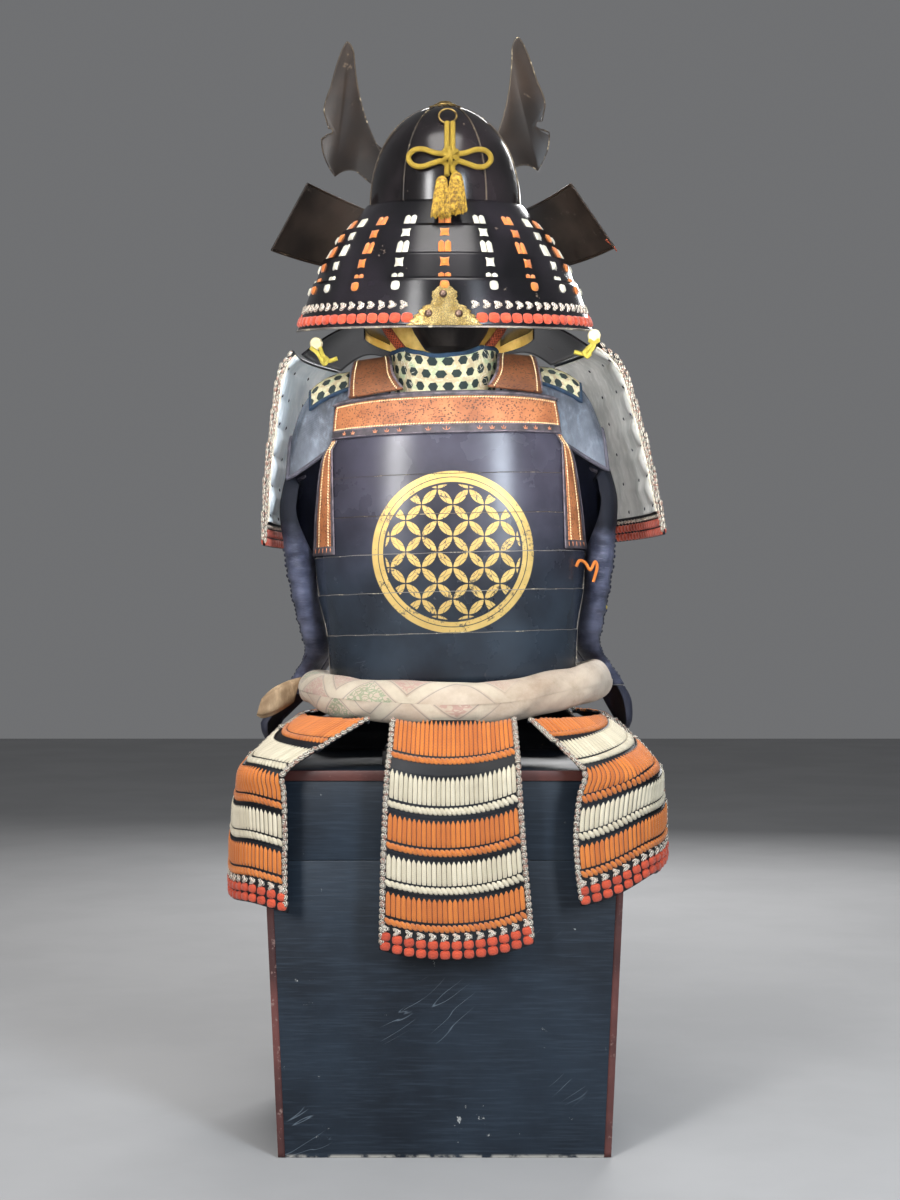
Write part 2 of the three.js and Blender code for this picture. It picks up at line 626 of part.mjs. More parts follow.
function bow(group) {
  for (const { name, sign } of SIDES) {
    const route = BOW_ROUTE.map(({ x, z, off }) => onBack(BOW.middle - x * sign, z + BOW.up, off));
    if (sign > 0) route[route.length - 1].add(vec(4, 0, 3));
    add(group, `bow_cord_${name}`, tube(route, BOW.diameter, 28), "gold_cord");
  }
  const ring = new THREE.TorusGeometry(RING.radius, RING.wire, 6, 16);
  ring.rotateX(rad(58));
  const hoop = add(group, "cord_ring", ring, "gilt");
  hoop.position.copy(onBack(4, 122, 6.5));
  const knot = new THREE.LatheGeometry(
    [[0, 0], [13, 0], [14, 2.5], [11, 6], [0, 7.5]].map(([r, z]) => new THREE.Vector2(r, z)),
    8,
  );
  knot.rotateX(Math.PI);
  const block = add(group, "bow_knot", knot, "gold_cord");
  block.position.copy(onBack(BOW.middle, BOW.knotZ + BOW.up, 6 + BOW.diameter / 2 + 3.6));
  const skirt = [[0, -69], [12.5, -67], [9.5, -28], [6.5, -13], [7.5, -6], [5, 0], [0, 0]];
  for (const { name, sign } of SIDES) {
    const lathe = new THREE.LatheGeometry(skirt.map(([r, z]) => new THREE.Vector2(r, z)), 12);
    lathe.rotateX(Math.PI / 2);
    lathe.scale(1, 0.55, 1);
    const tassel = add(group, `tassel_${name}`, lathe, "gold_cord");
    const top = sign < 0 ? onBack(-7, 31, 11) : onBack(20, 34, 12);
    tassel.position.copy(top);
    tassel.rotation.x = rad(-32);
  }
}

const CHIN_CORD = [
  { x: 92, y: -4, z: 1176 },
  { x: 85, y: -8, z: 1150 },
  { x: 71, y: -14, z: 1128 },
  { x: 56, y: -22, z: 1108 },
  { x: 47, y: -28, z: 1090 },
  { x: 43, y: -32, z: 1068 },
];

function chinCords(group) {
  for (const { name, sign } of SIDES) {
    const points = CHIN_CORD.map(({ x, y, z }) => vec(sign * x - 1, y, z));
    add(group, `chin_cord_${name}`, tube(points, 13, 8, 10), "red_silk");
  }
}

// ---------------------------------------------------------------- cuirass

function bodyPoint(x, z, isBack) {
  const row = rowAt(CUIRASS, "z", z);
  const depth = isBack ? -row.back : row.front;
  const share = clamp(Math.abs(x) / row.half, 0, 1);
  return vec(x, depth * (1 - share ** CUIRASS_POWER) ** (1 / CUIRASS_POWER), z);
}

// A plate's outer surface: across from -1 to 1 between its side edges, and a height over the rim.
function plateSheet(isBack) {
  return (across, z) => {
    const row = rowAt(CUIRASS, "z", z);
    const widest = row.half * Math.sin(rad(89)) ** (2 / CUIRASS_POWER);
    const edge = Math.min(row.edge, widest);
    const reach = Math.asin((edge / row.half) ** (CUIRASS_POWER / 2));
    const top = isBack ? BACK_TOP : FRONT_TOP;
    const drop = z > 340 ? NECK_DROP * across * across * ((z - 340) / (top - 340)) : 0;
    const angle = isBack ? across * reach : Math.PI - across * reach;
    return ringPoint(row.half, row.back, row.front, CUIRASS_POWER, angle, z - drop);
  };
}

// The riveted lames step outwards going down: how proud the plate is at a height.
function lameStep(z) {
  const joint = LAME_JOINTS.filter((edge) => edge <= z + 1e-6).pop() ?? LAME_JOINTS[0];
  const next = LAME_JOINTS.find((edge) => edge > z + 1e-6) ?? joint + 60;
  return 1.6 * clamp((z - joint) / (next - joint), 0, 1);
}

// Away from the body's upright axis, whatever the height.
function offBody(sheet, distance) {
  return (u, v) => offset(sheet, distance, vec(0, 0, sheet(u, v).z))(u, v);
}

function cuirass(group) {
  for (const isBack of [true, false]) {
    const sheet = plateSheet(isBack);
    const top = isBack ? BACK_TOP : FRONT_TOP;
    const heights = [];
    LAME_JOINTS.forEach((joint, i) => {
      const next = LAME_JOINTS[i + 1] ?? top;
      heights.push(joint);
      if (next < top) heights.push(next - 0.8);
    });
    heights.push(top);
    const acrosses = steps(-1, 1, 14);
    const outer = offBody(sheet, (u, v) => lameStep(v));
    const inner = offBody(sheet, -IRON);
    add(group, isBack ? "cuirass_back" : "cuirass_front", wall(acrosses, heights, outer, inner), "lacquer");
  }
  leatherBands(group);
}

const ON_PLATE = 2.7; // bands lie over the lames' steps

function leatherBands(group) {
  const back = plateSheet(true);
  const low = 337;
  const upper = (u, v) => back(u * 0.995, lerp(low, BACK_TOP - 1, v));
  const outer = offBody(upper, ON_PLATE + LEATHER);
  const band = wall(steps(-1, 1, 14), [0, 0.25, 0.6, 1], outer, offBody(upper, ON_PLATE));
  add(group, "back_band", band, "leather");

  // Beside each armhole: from the band's inner edge to the plate's edge, going down.
  for (const { name, sign } of SIDES) {
    const sheet = (u, v) => {
      const z = lerp(176, 334, v);
      const row = rowAt(CUIRASS, "z", z);
      const edge = Math.min(row.edge, row.half * 0.992) - 0.6;
      const inside = Math.min(158, edge - 7);
      return bodyPoint(sign * lerp(inside, edge, u), z, true);
    };
    const bandOuter = offBody(sheet, ON_PLATE + LEATHER);
    const columns = [0, 0.1, 0.3, 0.5, 0.7, 0.85, 1];
    const armhole = wall([0, 0.5, 1], columns, bandOuter, offBody(sheet, ON_PLATE));
    add(group, `armhole_band_${name}`, armhole, "leather");
  }
}

// The shoulder straps' fall line, from the back plate's top over the shoulder: y, z and half the width.
const STRAP = [
  { at: 0, y: -113.5, z: 397, inner: 72, outer: 132 },
  { at: 1, y: -104, z: 414, inner: 72, outer: 131 },
  { at: 2, y: -84, z: 434, inner: 74, outer: 129 },
  { at: 3, y: -52, z: 449, inner: 77, outer: 127 },
  { at: 4, y: -12, z: 454, inner: 80, outer: 126 },
  { at: 5, y: 30, z: 448, inner: 82, outer: 125 },
  { at: 6, y: 64, z: 428, inner: 82, outer: 124 },
  { at: 7, y: 90, z: 398, inner: 82, outer: 122 },
  { at: 8, y: 106, z: 366, inner: 82, outer: 120 },
];

function straps(group) {
  for (const { name, sign } of SIDES) {
    const sheet = (u, v) => {
      const row = rowAt(STRAP, "at", u);
      const round = 0.00095 * (row.outer - 100) ** 2;
      const x = lerp(row.inner, row.outer, v);
      const curve = bodyPoint(x, 380, true).y - bodyPoint(100, 380, true).y;
      const hug = row.y < 0 ? curve * clamp(-row.y / 100, 0, 1) : -curve * clamp(row.y / 100, 0, 1);
      return vec(sign * x, row.y + hug, row.z - 0.1 * (x - row.inner) - round);
    };
    const middle = vec(sign * 100, 0, 300);
    const geometry = wall(steps(0, 8, 10), [0, 0.5, 1], offset(sheet, 4, middle), sheet);
    add(group, `shoulder_strap_${name}`, geometry, "leather");
  }
}

// ---------------------------------------------------------------- collar, vest and sleeves

function collar(group) {
  const ring = { half: 70, back: 66, front: 60, y: -22 };
  const reach = 128;
  const sheet = (angle, rise) => {
    const round = clamp(Math.abs(angle) / 100, 0, 1);
    const foot = lerp(382, 446, round ** 1.3);
    const dip = 12 * Math.cos(rad(clamp(angle * 2.1, -90, 90)));
    const lean = 1 + 0.04 * rise;
    const p = ringPoint(ring.half * lean, ring.back * lean, ring.front, 2.2, rad(angle), 0);
    return p.add(vec(0, ring.y, lerp(foot, 460 - dip, rise)));
  };
  const outer = (u, v) => offset(sheet, 3, vec(0, ring.y, sheet(u, v).z))(u, v);
  add(group, "collar", wall(steps(-reach, reach, 22), [0, 0.5, 1], outer, sheet), "quilt");
}

// The vest's shoulder cap: along from 0 at the neck, round from -1 at the back edge to 1 at the front.
function vestSheet(along, round) {
  const place = clamp(along, 0, 1) * (VEST.length - 1);
  const rows = VEST.map((row, i) => ({ ...row, i }));
  const row = rowAt(rows, "i", place);
  const angle = rad((round * VEST_REACH) / 2);
  const share = Math.cos(angle);
  const front = round > 0 ? 0.92 : 1;
  return vec(
    lerp(row.edgeX, row.x, share),
    -row.edgeY * Math.sin(angle) * front,
    lerp(row.edgeZ, row.z, share),
  );
}

function vest(group) {
  for (const { name, sign } of SIDES) {
    const inside = (u, v) => offset(vestSheet, -CLOTH, vec(vestSheet(u, v).x * 0.8, 0, 250))(u, v);
    const outer = mirrored(vestSheet, sign);
    const rounds = steps(-1, 1, 12);
    const shell = wall(steps(0, 1, 8), rounds, outer, mirrored(inside, sign));
    add(group, `vest_${name}`, shell, "blue_cloth");

    // The quilted pad lies on the cap, outside the strap, from the back over the shoulder.
    const onCap = (u, v) => vestSheet(lerp(0.35, 0.7, u), lerp(-0.46, 0.46, v));
    const up = (distance) => (u, v) => offset(onCap, distance, vec(onCap(u, v).x * 0.8, 0, 250))(u, v);
    const pad = wall(steps(0, 1, 4), steps(0, 1, 8), mirrored(up(4.2), sign), mirrored(up(1.2), sign));
    add(group, `shoulder_pad_${name}`, pad, "quilt");
  }
}

// A level section of a sleeve or hand cover: spin in degrees from straight out, positive to the front.
function sleevePoint(row, spin, shrink = 0) {
  const a = rad(spin);
  const out = (row.out - shrink) * power(Math.cos(a), 2 / SLEEVE_POWER);
  const along = (row.along - shrink) * power(Math.sin(a), 2 / SLEEVE_POWER);
  const turn = rad(row.turn);
  const rise = (row.rise ?? 0) * Math.max(0, Math.cos(a)) ** 2;
  return vec(
    row.x + out * Math.cos(turn) - along * Math.sin(turn),
    row.y + out * Math.sin(turn) + along * Math.cos(turn),
    row.z + rise,
  );
}

function sleeves(group) {
  for (const { name, sign } of SIDES) {
    const level = (u) => rowAt(SLEEVE, "z", u);
    const sheet = (shrink) => (u, v) => sleevePoint(level(u), v * level(u).cover, shrink);
    const levels = SLEEVE.map((row) => row.z);
    const around = steps(-1, 1, 14);
    const tubeWall = wall(levels, around, mirrored(sheet(0), sign), mirrored(sheet(CLOTH), sign));
    add(group, `sleeve_${name}`, tubeWall, "satin");

    // The hand cover is the outer half only, bowed over the back of the hand.
    const hand = (shrink) => (u, v) => {
      const spread = HAND_SPREAD[name] * clamp((HAND[0].z - u) / 40, 0, 1);
      return sleevePoint(rowAt(HAND, "z", u), v * 100, shrink).add(vec(spread, 0, 0));
    };
    const heights = HAND.map((row) => row.z);
    const cover = wall(heights, steps(-1, 1, 8), mirrored(hand(0), sign), mirrored(hand(3), sign));
    const piece = add(group, `hand_cover_${name}`, cover, "navy_cloth");
    piece.position.z = -GAP;
  }
}

// ---------------------------------------------------------------- shoulder guards

// A guard's outer face: across from 0 at its back edge to 1, and a length down from its top edge.
function guardSheet(side) {
  return (across, down) => {
    const fall = down / GUARD_LAMES[GUARD_LAMES.length - 1];
    const bow = Math.sin(Math.PI * clamp(across, -0.05, 1.05)) * GUARD.bulge;
    const narrow = lerp(0.9, 1, Math.min(1, fall * 2));
    const ahead = (across - 0.5) * GUARD.width * narrow + GUARD.width / 2;
    const yaw = rad(GUARD.yaw);
    const out = rowAt(GUARD_FALL, "down", down)[side];
    return vec(out + bow - ahead * Math.sin(yaw), GUARD.back + ahead * Math.cos(yaw), GUARD.top - down);
  };
}

// Laced lames lap over each other going down, each standing out at its top.
function lapAt(lames, proud, length) {
  let i = lames.findIndex((start) => start > length + 1e-6);
  if (i < 0) i = lames.length - 1;
  const share = (length - lames[i - 1]) / (lames[i] - lames[i - 1]);
  return proud * (1 - share);
}

// The lengths at which a laced panel changes: each lame's top and, just above it, the foot of the last.
function lapLengths(lames) {
  return lames.flatMap((start, i) => (i === 0 || i === lames.length - 1 ? [start] : [start - 1, start]));
}

function shoulderGuards(group) {
  for (const { name, sign } of SIDES) {
    const sheet = guardSheet(name);
    const far = vec(-400, 0, 300);
    const outer = offset(sheet, (u, v) => 2 + lapAt(GUARD_LAMES, 2.4, v), far);
    const inner = offset(sheet, -1, far);
    const face = wall(steps(0, 1, 8), lapLengths(GUARD_LAMES), mirrored(outer, sign), mirrored(inner, sign));
    add(group, `shoulder_guard_${name}`, face, "orange_silk");
    const end = GUARD_LAMES[GUARD_LAMES.length - 1] - 34;
    const cloth = wall(
      steps(0.012, 0.988, 8),
      [3, 18, 42, 90, 165, end],
      mirrored(offset(sheet, -1 - GAP, far), sign),
      mirrored(offset(sheet, -1 - GAP - CLOTH, far), sign),
    );
    add(group, `guard_lining_${name}`, cloth, "pale_cloth");

    const block = new THREE.CylinderGeometry(TOGGLE.top, TOGGLE.foot, TOGGLE.height, 6);
    const toggle = add(group, `toggle_${name}`, block, "ivory");
    toggle.rotation.x = Math.PI / 2;
    toggle.position.set(sign * TOGGLE_X[name], -30, GUARD.top + 11);
  }
}

// ---------------------------------------------------------------- sash

function sashPoint(turn, spin, shrink = 0) {
  const row = rowAt(SASH, "turn", turn > 180 ? turn - 360 : turn);
  const { half, back, front } = SASH_PATH;
  const at = (t) => ringPoint(half + row.out, back + row.out, front + row.out, SASH_POWER, rad(t), row.z);
  const ahead = at(turn + 0.5).sub(at(turn - 0.5)).normalize();
  const away = vec(-ahead.y, ahead.x, 0);
  if (away.dot(at(turn)) < 0) away.negate();
  const a = rad(spin);
  return at(turn)
    .addScaledVector(away, (row.thick - shrink) * Math.cos(a))
    .add(vec(0, 0, (row.high - shrink) * Math.sin(a)));
}

function sash(group) {
  const spins = steps(0, 360, 12).slice(0, -1);
  const stretch = (from, to, count) =>
    loft(steps(from, to, count).map((turn) => spins.map((spin) => sashPoint(turn, spin))));
  add(group, "sash_back", stretch(-108, 108, 22), "brocade");
  add(group, "sash_front", stretch(108.2, 251.8, 14), "brocade");

  // The tied end pokes out at the left, flat where it leaves the roll and gathered at its tip.
  const end = [
    { x: -225, y: 12, z: -14, wide: 19, thick: 6 },
    { x: -238, y: 8, z: -20, wide: 22, thick: 9 },
    { x: -254, y: 2, z: -27, wide: 23, thick: 10 },
    { x: -269, y: -4, z: -33, wide: 20, thick: 8 },
    { x: -279, y: -8, z: -37, wide: 12, thick: 4 },
  ];
  const slope = { x: 0.3, z: 0.95 }; // the end's width lies square to its fall
  const loops = end.map((row) =>
    steps(0, 360, 10).slice(0, -1).map((spin) => {
      const across = row.wide * Math.cos(rad(spin));
      const through = row.thick * Math.sin(rad(spin));
      return vec(row.x + across * slope.x, row.y + through, row.z + across * slope.z);
    }),
  );
  add(group, "sash_end", loft(loops), "brocade");
}

// ---------------------------------------------------------------- laced skirts

// Points down the fall line of a skirt at one place across a tasset, with the length to each.
function fallLine(turn, across, hang) {
  const line = [];
  let length = 0;
  for (let z = SKIRT[0].z; z > SKIRT[SKIRT.length - 1].z; z -= 4) {
    const row = rowAt(SKIRT, "z", z);
    const fall = clamp(length / TASSET_LAMES[TASSET_LAMES.length - 1], 0, 1);
    const half = lerp(TASSET.halfTop, TASSET.halfFoot, fall);
    const aside = hang.moved + hang.lean * fall + hang.bow * Math.sin(Math.PI * fall);
    const ring = steps(0, 1, 96).map((share) =>
      ringPoint(row.half, row.back, row.front, row.power, share * 2 * Math.PI, z, row.x),
    );
    const lengths = [0];
    for (let i = 1; i < ring.length; i++) lengths.push(lengths[i - 1] + ring[i].distanceTo(ring[i - 1]));
    const round = lengths[lengths.length - 1];
    const wanted = (((turn * round + aside + across * half) % round) + round) % round;
    const i = clamp(lengths.findIndex((far) => far > wanted), 1, ring.length - 1);
    const share = (wanted - lengths[i - 1]) / (lengths[i] - lengths[i - 1]);
    const point = ring[i - 1].clone().lerp(ring[i], share);
    if (line.length) length += point.distanceTo(line[line.length - 1].point);
    line.push({ length, point });
  }
  return line;
}

function tassetSheet(number) {
  const turn = number > TASSETS / 2 ? number - TASSETS : number;
  const lines = new Map();
  const hang = TASSET_HANG[number];
  return (across, down) => {
    const key = across.toFixed(4);
    if (!lines.has(key)) lines.set(key, fallLine(turn / TASSETS, across, hang));
    const line = lines.get(key);
    const pulled = (hang.longer - hang.rise * across) * Math.min(1, down / 85);
    const length = down - TASSET.arch * across * across + pulled;
    const wanted = TASSET.start + Math.max(0, length);
    const i = clamp(line.findIndex((row) => row.length > wanted), 1, line.length - 1);
    const [a, b] = [line[i - 1], line[i]];
    const share = (wanted - a.length) / (b.length - a.length);
    return a.point.clone().lerp(b.point, share);
  };
}

function tassets(group) {
  const lengths = lapLengths(TASSET_LAMES);
  lengths.splice(1, 0, 34);
  for (let number = 0; number < TASSETS; number++) {
    const sheet = tassetSheet(number);
    const middle = vec(8, 0, -200);
    const outer = offset(sheet, (u, v) => 1 + lapAt(TASSET_LAMES, 2.6, Math.max(v, 0.01)), middle);
    const inner = offset(sheet, -TASSET.thickness, middle);
    add(group, `tasset_${number + 1}`, wall(steps(-1, 1, 8), lengths, outer, inner), "orange_silk");
  }
}

// ---------------------------------------------------------------- the whole

const armour = new THREE.Group();
chest(armour);
stand(armour);
tassets(armour);
chinCords(armour);

const helmet = new THREE.Group();
helmet.position.set(0, HELMET.y, HELMET.z);
helmet.rotation.x = rad(HELMET.tip);
armour.add(helmet);
helmetBowl(helmet);
neckGuard(helmet);
helmetFront(helmet);
bow(helmet);
horns(armour);

const body = new THREE.Group();
body.position.set(RIM.x, RIM.y, RIM.z);
body.rotation.y = rad(RIM.lean);
armour.add(body);
cuirass(body);
straps(body);
collar(body);
vest(body);
sleeves(body);
shoulderGuards(body);
sash(body);

const TIE = [
  { x: 176, y: -67, z: 150 },
  { x: 181, y: -68, z: 158 },
  { x: 189, y: -65, z: 155 },
  { x: 196, y: -62, z: 145 },
  { x: 203, y: -60, z: 156 },
  { x: 206, y: -58, z: 148 },
  { x: 200, y: -60, z: 128 },
];
add(body, "side_tie", tube(TIE.map(({ x, y, z }) => vec(x, y, z)), TIE_DIAMETER, 14), "orange_silk");

export default armour;
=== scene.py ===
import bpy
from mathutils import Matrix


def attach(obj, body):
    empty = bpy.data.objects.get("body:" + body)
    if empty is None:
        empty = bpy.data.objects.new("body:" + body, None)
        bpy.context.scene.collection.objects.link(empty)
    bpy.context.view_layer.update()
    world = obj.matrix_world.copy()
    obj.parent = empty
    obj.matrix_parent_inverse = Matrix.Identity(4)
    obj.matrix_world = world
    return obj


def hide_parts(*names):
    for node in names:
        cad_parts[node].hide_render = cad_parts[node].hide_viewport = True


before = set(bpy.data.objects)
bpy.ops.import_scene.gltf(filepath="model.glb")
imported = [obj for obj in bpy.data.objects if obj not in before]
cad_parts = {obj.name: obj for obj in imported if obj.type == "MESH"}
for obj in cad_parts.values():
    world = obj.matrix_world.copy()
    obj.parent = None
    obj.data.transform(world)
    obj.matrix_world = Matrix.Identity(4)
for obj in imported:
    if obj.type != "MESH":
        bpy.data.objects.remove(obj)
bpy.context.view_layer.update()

from types import SimpleNamespace

import bmesh
import bpy
import numpy as np
from mathutils import Matrix, Vector

bl_info = {
    "name": "Samurai armour",
    "version": (1, 0, 0),
    "blender": (4, 5, 0),
    "location": "3D View > Sidebar > Armour",
    "description": "A laced samurai armour on its chest, with its cords, cloth and stage",
    "category": "Add Mesh",
}

MM = 0.001
SIDES = (("left", -1), ("right", 1))

# ------------------------------------------------------------------ forms, in millimetres


def table(columns, *rows):
    """A table of named columns. The first column rises or falls from row to row."""
    data = np.array(rows, float)
    return columns.split(), data if data[-1, 0] > data[0, 0] else data[::-1]


def row_at(chart, place):
    """The rows that lie at a place between a table's rows. Its columns follow smooth curves."""
    names, data = chart
    place = np.asarray(place, float)
    last = len(data) - 1
    i = np.clip(np.searchsorted(data[:, 0], place, side="right"), 1, last)
    a, b, c, d = (data[np.clip(k, 0, last)] for k in (i - 2, i - 1, i, i + 1))
    span = c[..., :1] - b[..., :1]
    t = np.clip((place[..., None] - b[..., :1]) / span, 0, 1)
    before = np.where(i[..., None] == 1, 1, c[..., :1] - a[..., :1])
    after = np.where(i[..., None] == last, 1, d[..., :1] - b[..., :1])
    into = np.where(i[..., None] == 1, c - b, (c - a) * span / before)
    out = np.where(i[..., None] == last, c - b, (d - b) * span / after)
    left = 1 - t
    row = b * (1 + 2 * t) * left**2 + into * t * left**2 + c * t * t * (3 - 2 * t) - out * t * t * left
    return SimpleNamespace(**{name: row[..., k] for k, name in enumerate(names)})


BODY_AT, BODY_LEAN = (12, -30, 645), np.radians(-1.6)
HELMET_AT, HELMET_TIP = (0, 0, 1318), np.radians(6.5)
HORNS_AT = (-11, 156, 1318)

CUIRASS = table(
    "z half back front edge",
    (-9, 174.5, 117.5, 117.5, 174.5), (63, 178, 124, 126, 178), (120, 188, 130, 134, 188),
    (173, 192, 133, 138, 192), (186, 191.5, 133, 139, 189), (226, 190, 133, 140, 186),
    (281, 186, 130, 136, 179), (312, 183, 127, 131, 172), (335, 180, 124, 126, 158),
    (395, 172, 112, 108, 155),
)
CUIRASS_POWER = 2.3
LAME_JOINTS = (-9, 63, 120, 173, 226, 281, 335)
BACK_TOP, FRONT_TOP, NECK_DROP = 393, 352, 8

BOWL = SimpleNamespace(half=109.5, length=121, height=148, hole=11)
BOWL_SEAMS = (-160, -122, -77, -32, 32, 77, 122, 160)
NECK = table(
    "place z half back front",
    (0, 4, 113, 124.5, 125), (1, -38, 148, 159, 134), (2, -78, 175, 189, 151),
    (3, -114.5, 191, 207, 165), (4, -174, 215, 227, 181),
)
NECK_REACH = (118, 113, 107, 100)
NECK_LAP = 3.8
FITTING = table(
    "rise half",
    (0.02, 13.2), (0.12, 12.6), (0.3, 9.8), (0.42, 8.2), (0.5, 5.4), (0.62, 4.6), (0.72, 4.9), (0.82, 3.6),
    (0.92, 1.2),
)

SKIRT = table(
    "z x half back front power",
    (590, 12, 214, 206, 146, 2.5), (572, 11, 240, 220, 178, 3.3), (550, 10, 264, 238, 214, 4.8),
    (524, 8, 285, 258, 257, 7), (500, 7, 292, 259, 258, 5.8), (460, 6, 299, 259, 258, 4.8),
    (400, 5, 303, 259, 258, 4.4), (240, 5, 303, 258, 257, 4.4),
)
TASSETS = 7
TASSET_LAMES = (0, 85, 142, 196, 245, 327)
TASSET = SimpleNamespace(top=84, foot=103, arch=12, start=2, wall=4)
# Each tasset is moved along the waist, leans by its foot, bows halfway, is longer, and rises to its +X side.
TASSET_HANG = (
    (0, 12, 0, 2, 4), (0, 0, -26, -44, 23), (3, -6, 0, -46, -9), (-2, 5, 4, 4, 7),
    (3, -8, 0, -3, -4), (-4, 6, 0, -30, 7), (-14, -18, 0, -12, -26),
)

VEST = table(
    "i x z edge_x edge_y edge_z",
    (0, 80, 438, 80, -84, 358), (1, 106, 438, 106, -78, 344), (2, 133, 436, 132, -68, 326),
    (3, 160, 431, 157, -49, 310), (4, 186, 416, 187, -42, 298), (5, 207, 388, 210, -41, 290),
    (6, 222, 348, 227, -38, 284),
)
SLEEVE = table(
    "level x y out along turn cover rise",
    (278, 208, -1, 15, 33, 0, 84, 42), (262, 213, 1, 19, 44, 0, 90, 30), (240, 219, 4, 22, 55, 0, 97, 14),
    (216, 219, 6, 22, 60, 0, 112, 6), (196, 217, 8, 20, 61, 1, 140, 2), (174, 215, 10, 19, 61, 2, 179.4, 0),
    (134, 210, 16, 17, 58, 4, 179.4, 0), (96, 203, 26, 16, 52, 8, 179.4, 0),
    (62, 195, 42, 16, 44, 13, 179.3, 0),
    (36, 194, 60, 15, 36, 20, 179.3, 0), (12, 209, 89, 15, 31, 26, 179.2, 0),
    (-6, 222, 98, 16, 30, 28, 179.2, 0),
    (-22, 231, 106, 17, 30, 28, 179.2, 0),
)
HAND = table(
    "level x y out along turn rise",
    (-23.3, 231, 106, 17, 30, 28, 0), (-42.3, 238, 106, 17, 37, 20, 0), (-62.3, 242, 104, 14, 41, 12, 0),
    (-76.3, 245, 102, 11, 37, 8, 0), (-86.3, 246, 101, 8, 24, 6, 0),
)
HAND_SPREAD = {"left": 27, "right": 4}
SASH = table(
    "turn high thick out z",
    (-180, 28, 28, 0, -22), (-135, 27, 26, 3, -20), (-110, 24, 23, 12, -12), (-88, 24, 21, 16, -10),
    (-60, 28, 26, 8, -18), (-25, 30, 31, 0, -28), (10, 31, 31, 0, -34), (45, 28, 30, 4, -20),
    (70, 29, 24, 15, -12), (90, 28, 20, 19, -10), (112, 26, 19, 8, -12), (145, 27, 27, 4, -18),
    (180, 28, 28, 0, -22),
)
SASH_PATH, SASH_POWER = SimpleNamespace(half=185, back=150, front=150), 2.4
SASH_END = table(
    "place x y z wide thick",
    (0, -225, 12, -14, 19, 6), (1, -238, 8, -20, 22, 9), (2, -254, 2, -27, 23, 10), (3, -269, -4, -33, 20, 8),
    (4, -279, -8, -37, 12, 4),
)
GUARD = SimpleNamespace(top=466, width=262, back=-52, yaw=np.radians(12), bulge=13)
GUARD_FALL = table(
    "down left right",
    (0, 213, 217), (18, 228, 239), (42, 236, 254), (110, 245, 271), (180, 254, 286), (274, 261, 302),
)
GUARD_LAMES = (0, 18, 42, 82, 130, 178, 226, 274)
TOGGLE_X = {"left": 181, "right": 213}
STRAP = table(
    "at y z inner outer",
    (0, -113.5, 397, 72, 132), (1, -104, 414, 72, 131), (2, -84, 434, 74, 129), (3, -52, 449, 77, 127),
    (4, -12, 454, 80, 126), (5, 30, 448, 82, 125), (6, 64, 428, 82, 124), (7, 90, 398, 82, 122),
    (8, 106, 366, 82, 120),
)
BOW = SimpleNamespace(diameter=7.5, middle=7, up=7, knot=55)
BOW_ROUTE = (
    (-4.1, 104, 8), (-4.1, 92, 7), (-4.1, 78, 6), (-4.4, 67, 6), (-10, 60, 6), (-22, 61, 6), (-36, 66, 6),
    (-48, 66, 6), (-56, 60, 6), (-57, 52, 6), (-50, 44, 6), (-38, 42, 6), (-24, 46, 6), (-12, 49, 6),
    (-4.6, 44, 6), (-4.1, 36, 6.5), (-4.1, 29, 8),
)
# Each turn of the bow's knot by its places across, up, and outwards from the knot's middle.
KNOT_TURNS = (
    ((-11, 3, 0), (-5, 1.5, -4.5), (5, -1.5, -4.5), (11, -3, 0)),
    ((-10, -7, 0), (-4, -3, -6.5), (4, 3, -6.5), (10, 7, 0)),
    ((1.5, -11, 0), (0.5, -5, -5.5), (-0.5, 5, -5.5), (-1.5, 11, 0)),
)

# ------------------------------------------------------------------ surfaces


def points(x, y, z):
    return np.stack(np.broadcast_arrays(x, y, z), -1).astype(float)


def power(value, exponent):
    return np.sign(value) * np.abs(value) ** exponent


def turned_about(p, axis, angle, at):
    """Points turned about an axis through the origin, then moved."""
    turn = np.array(Matrix.Rotation(angle, 3, axis))
    return p @ turn.T + np.array(at, float)


def in_body(p):
    return turned_about(p, "Y", BODY_LEAN, BODY_AT)


def in_helmet(p):
    return turned_about(p, "X", HELMET_TIP, HELMET_AT)


def axis(x, y, z=None):
    """The middle that a surface goes round: an upright line, or a point where z is given."""
    return lambda p: points(x, y, p[..., 2] if z is None else z)


BODY_AXIS, HELMET_MIDDLE = axis(12, -30), axis(0, 20, 1230)


def normals(sheet, u, v, middle, step):
    """Each place on a surface, the way down it, and the way out of it."""
    u, v = np.broadcast_arrays(np.asarray(u, float), np.asarray(v, float))
    at = sheet(u, v)
    down = sheet(u, v + step[1]) - sheet(u, v - step[1])
    out = np.cross(sheet(u + step[0], v) - sheet(u - step[0], v), down)
    out /= np.linalg.norm(out, axis=-1, keepdims=True) + 1e-12
    outward = np.sum(out * (at - middle(at)), -1, keepdims=True)
    return at, down, np.where(outward < 0, -out, out)


def offset(sheet, distance, middle=BODY_AXIS, step=(1e-3, 1e-3)):
    """The sheet that lies a distance off another, away from its middle."""

    def moved(u, v):
        at, _, out = normals(sheet, u, v, middle, step)
        by = distance(u, v) if callable(distance) else distance
        return at + out * np.broadcast_to(by, at.shape[:-1])[..., None]

    return moved


def ring_point(half, back, front, exponent, angle, z, x=0):
    s, c = np.sin(angle), np.cos(angle)
    depth = np.where(c > 0, back, front)
    return points(x + half * power(s, 2 / exponent), -depth * power(c, 2 / exponent), z)


def bowl(angle, rise):
    share = np.sqrt(np.maximum(0, 1 - np.abs(rise) ** 2.2))
    a = np.radians(angle)
    return in_helmet(points(BOWL.half * share * np.sin(a), -BOWL.length * share * np.cos(a),
                            BOWL.height * rise))


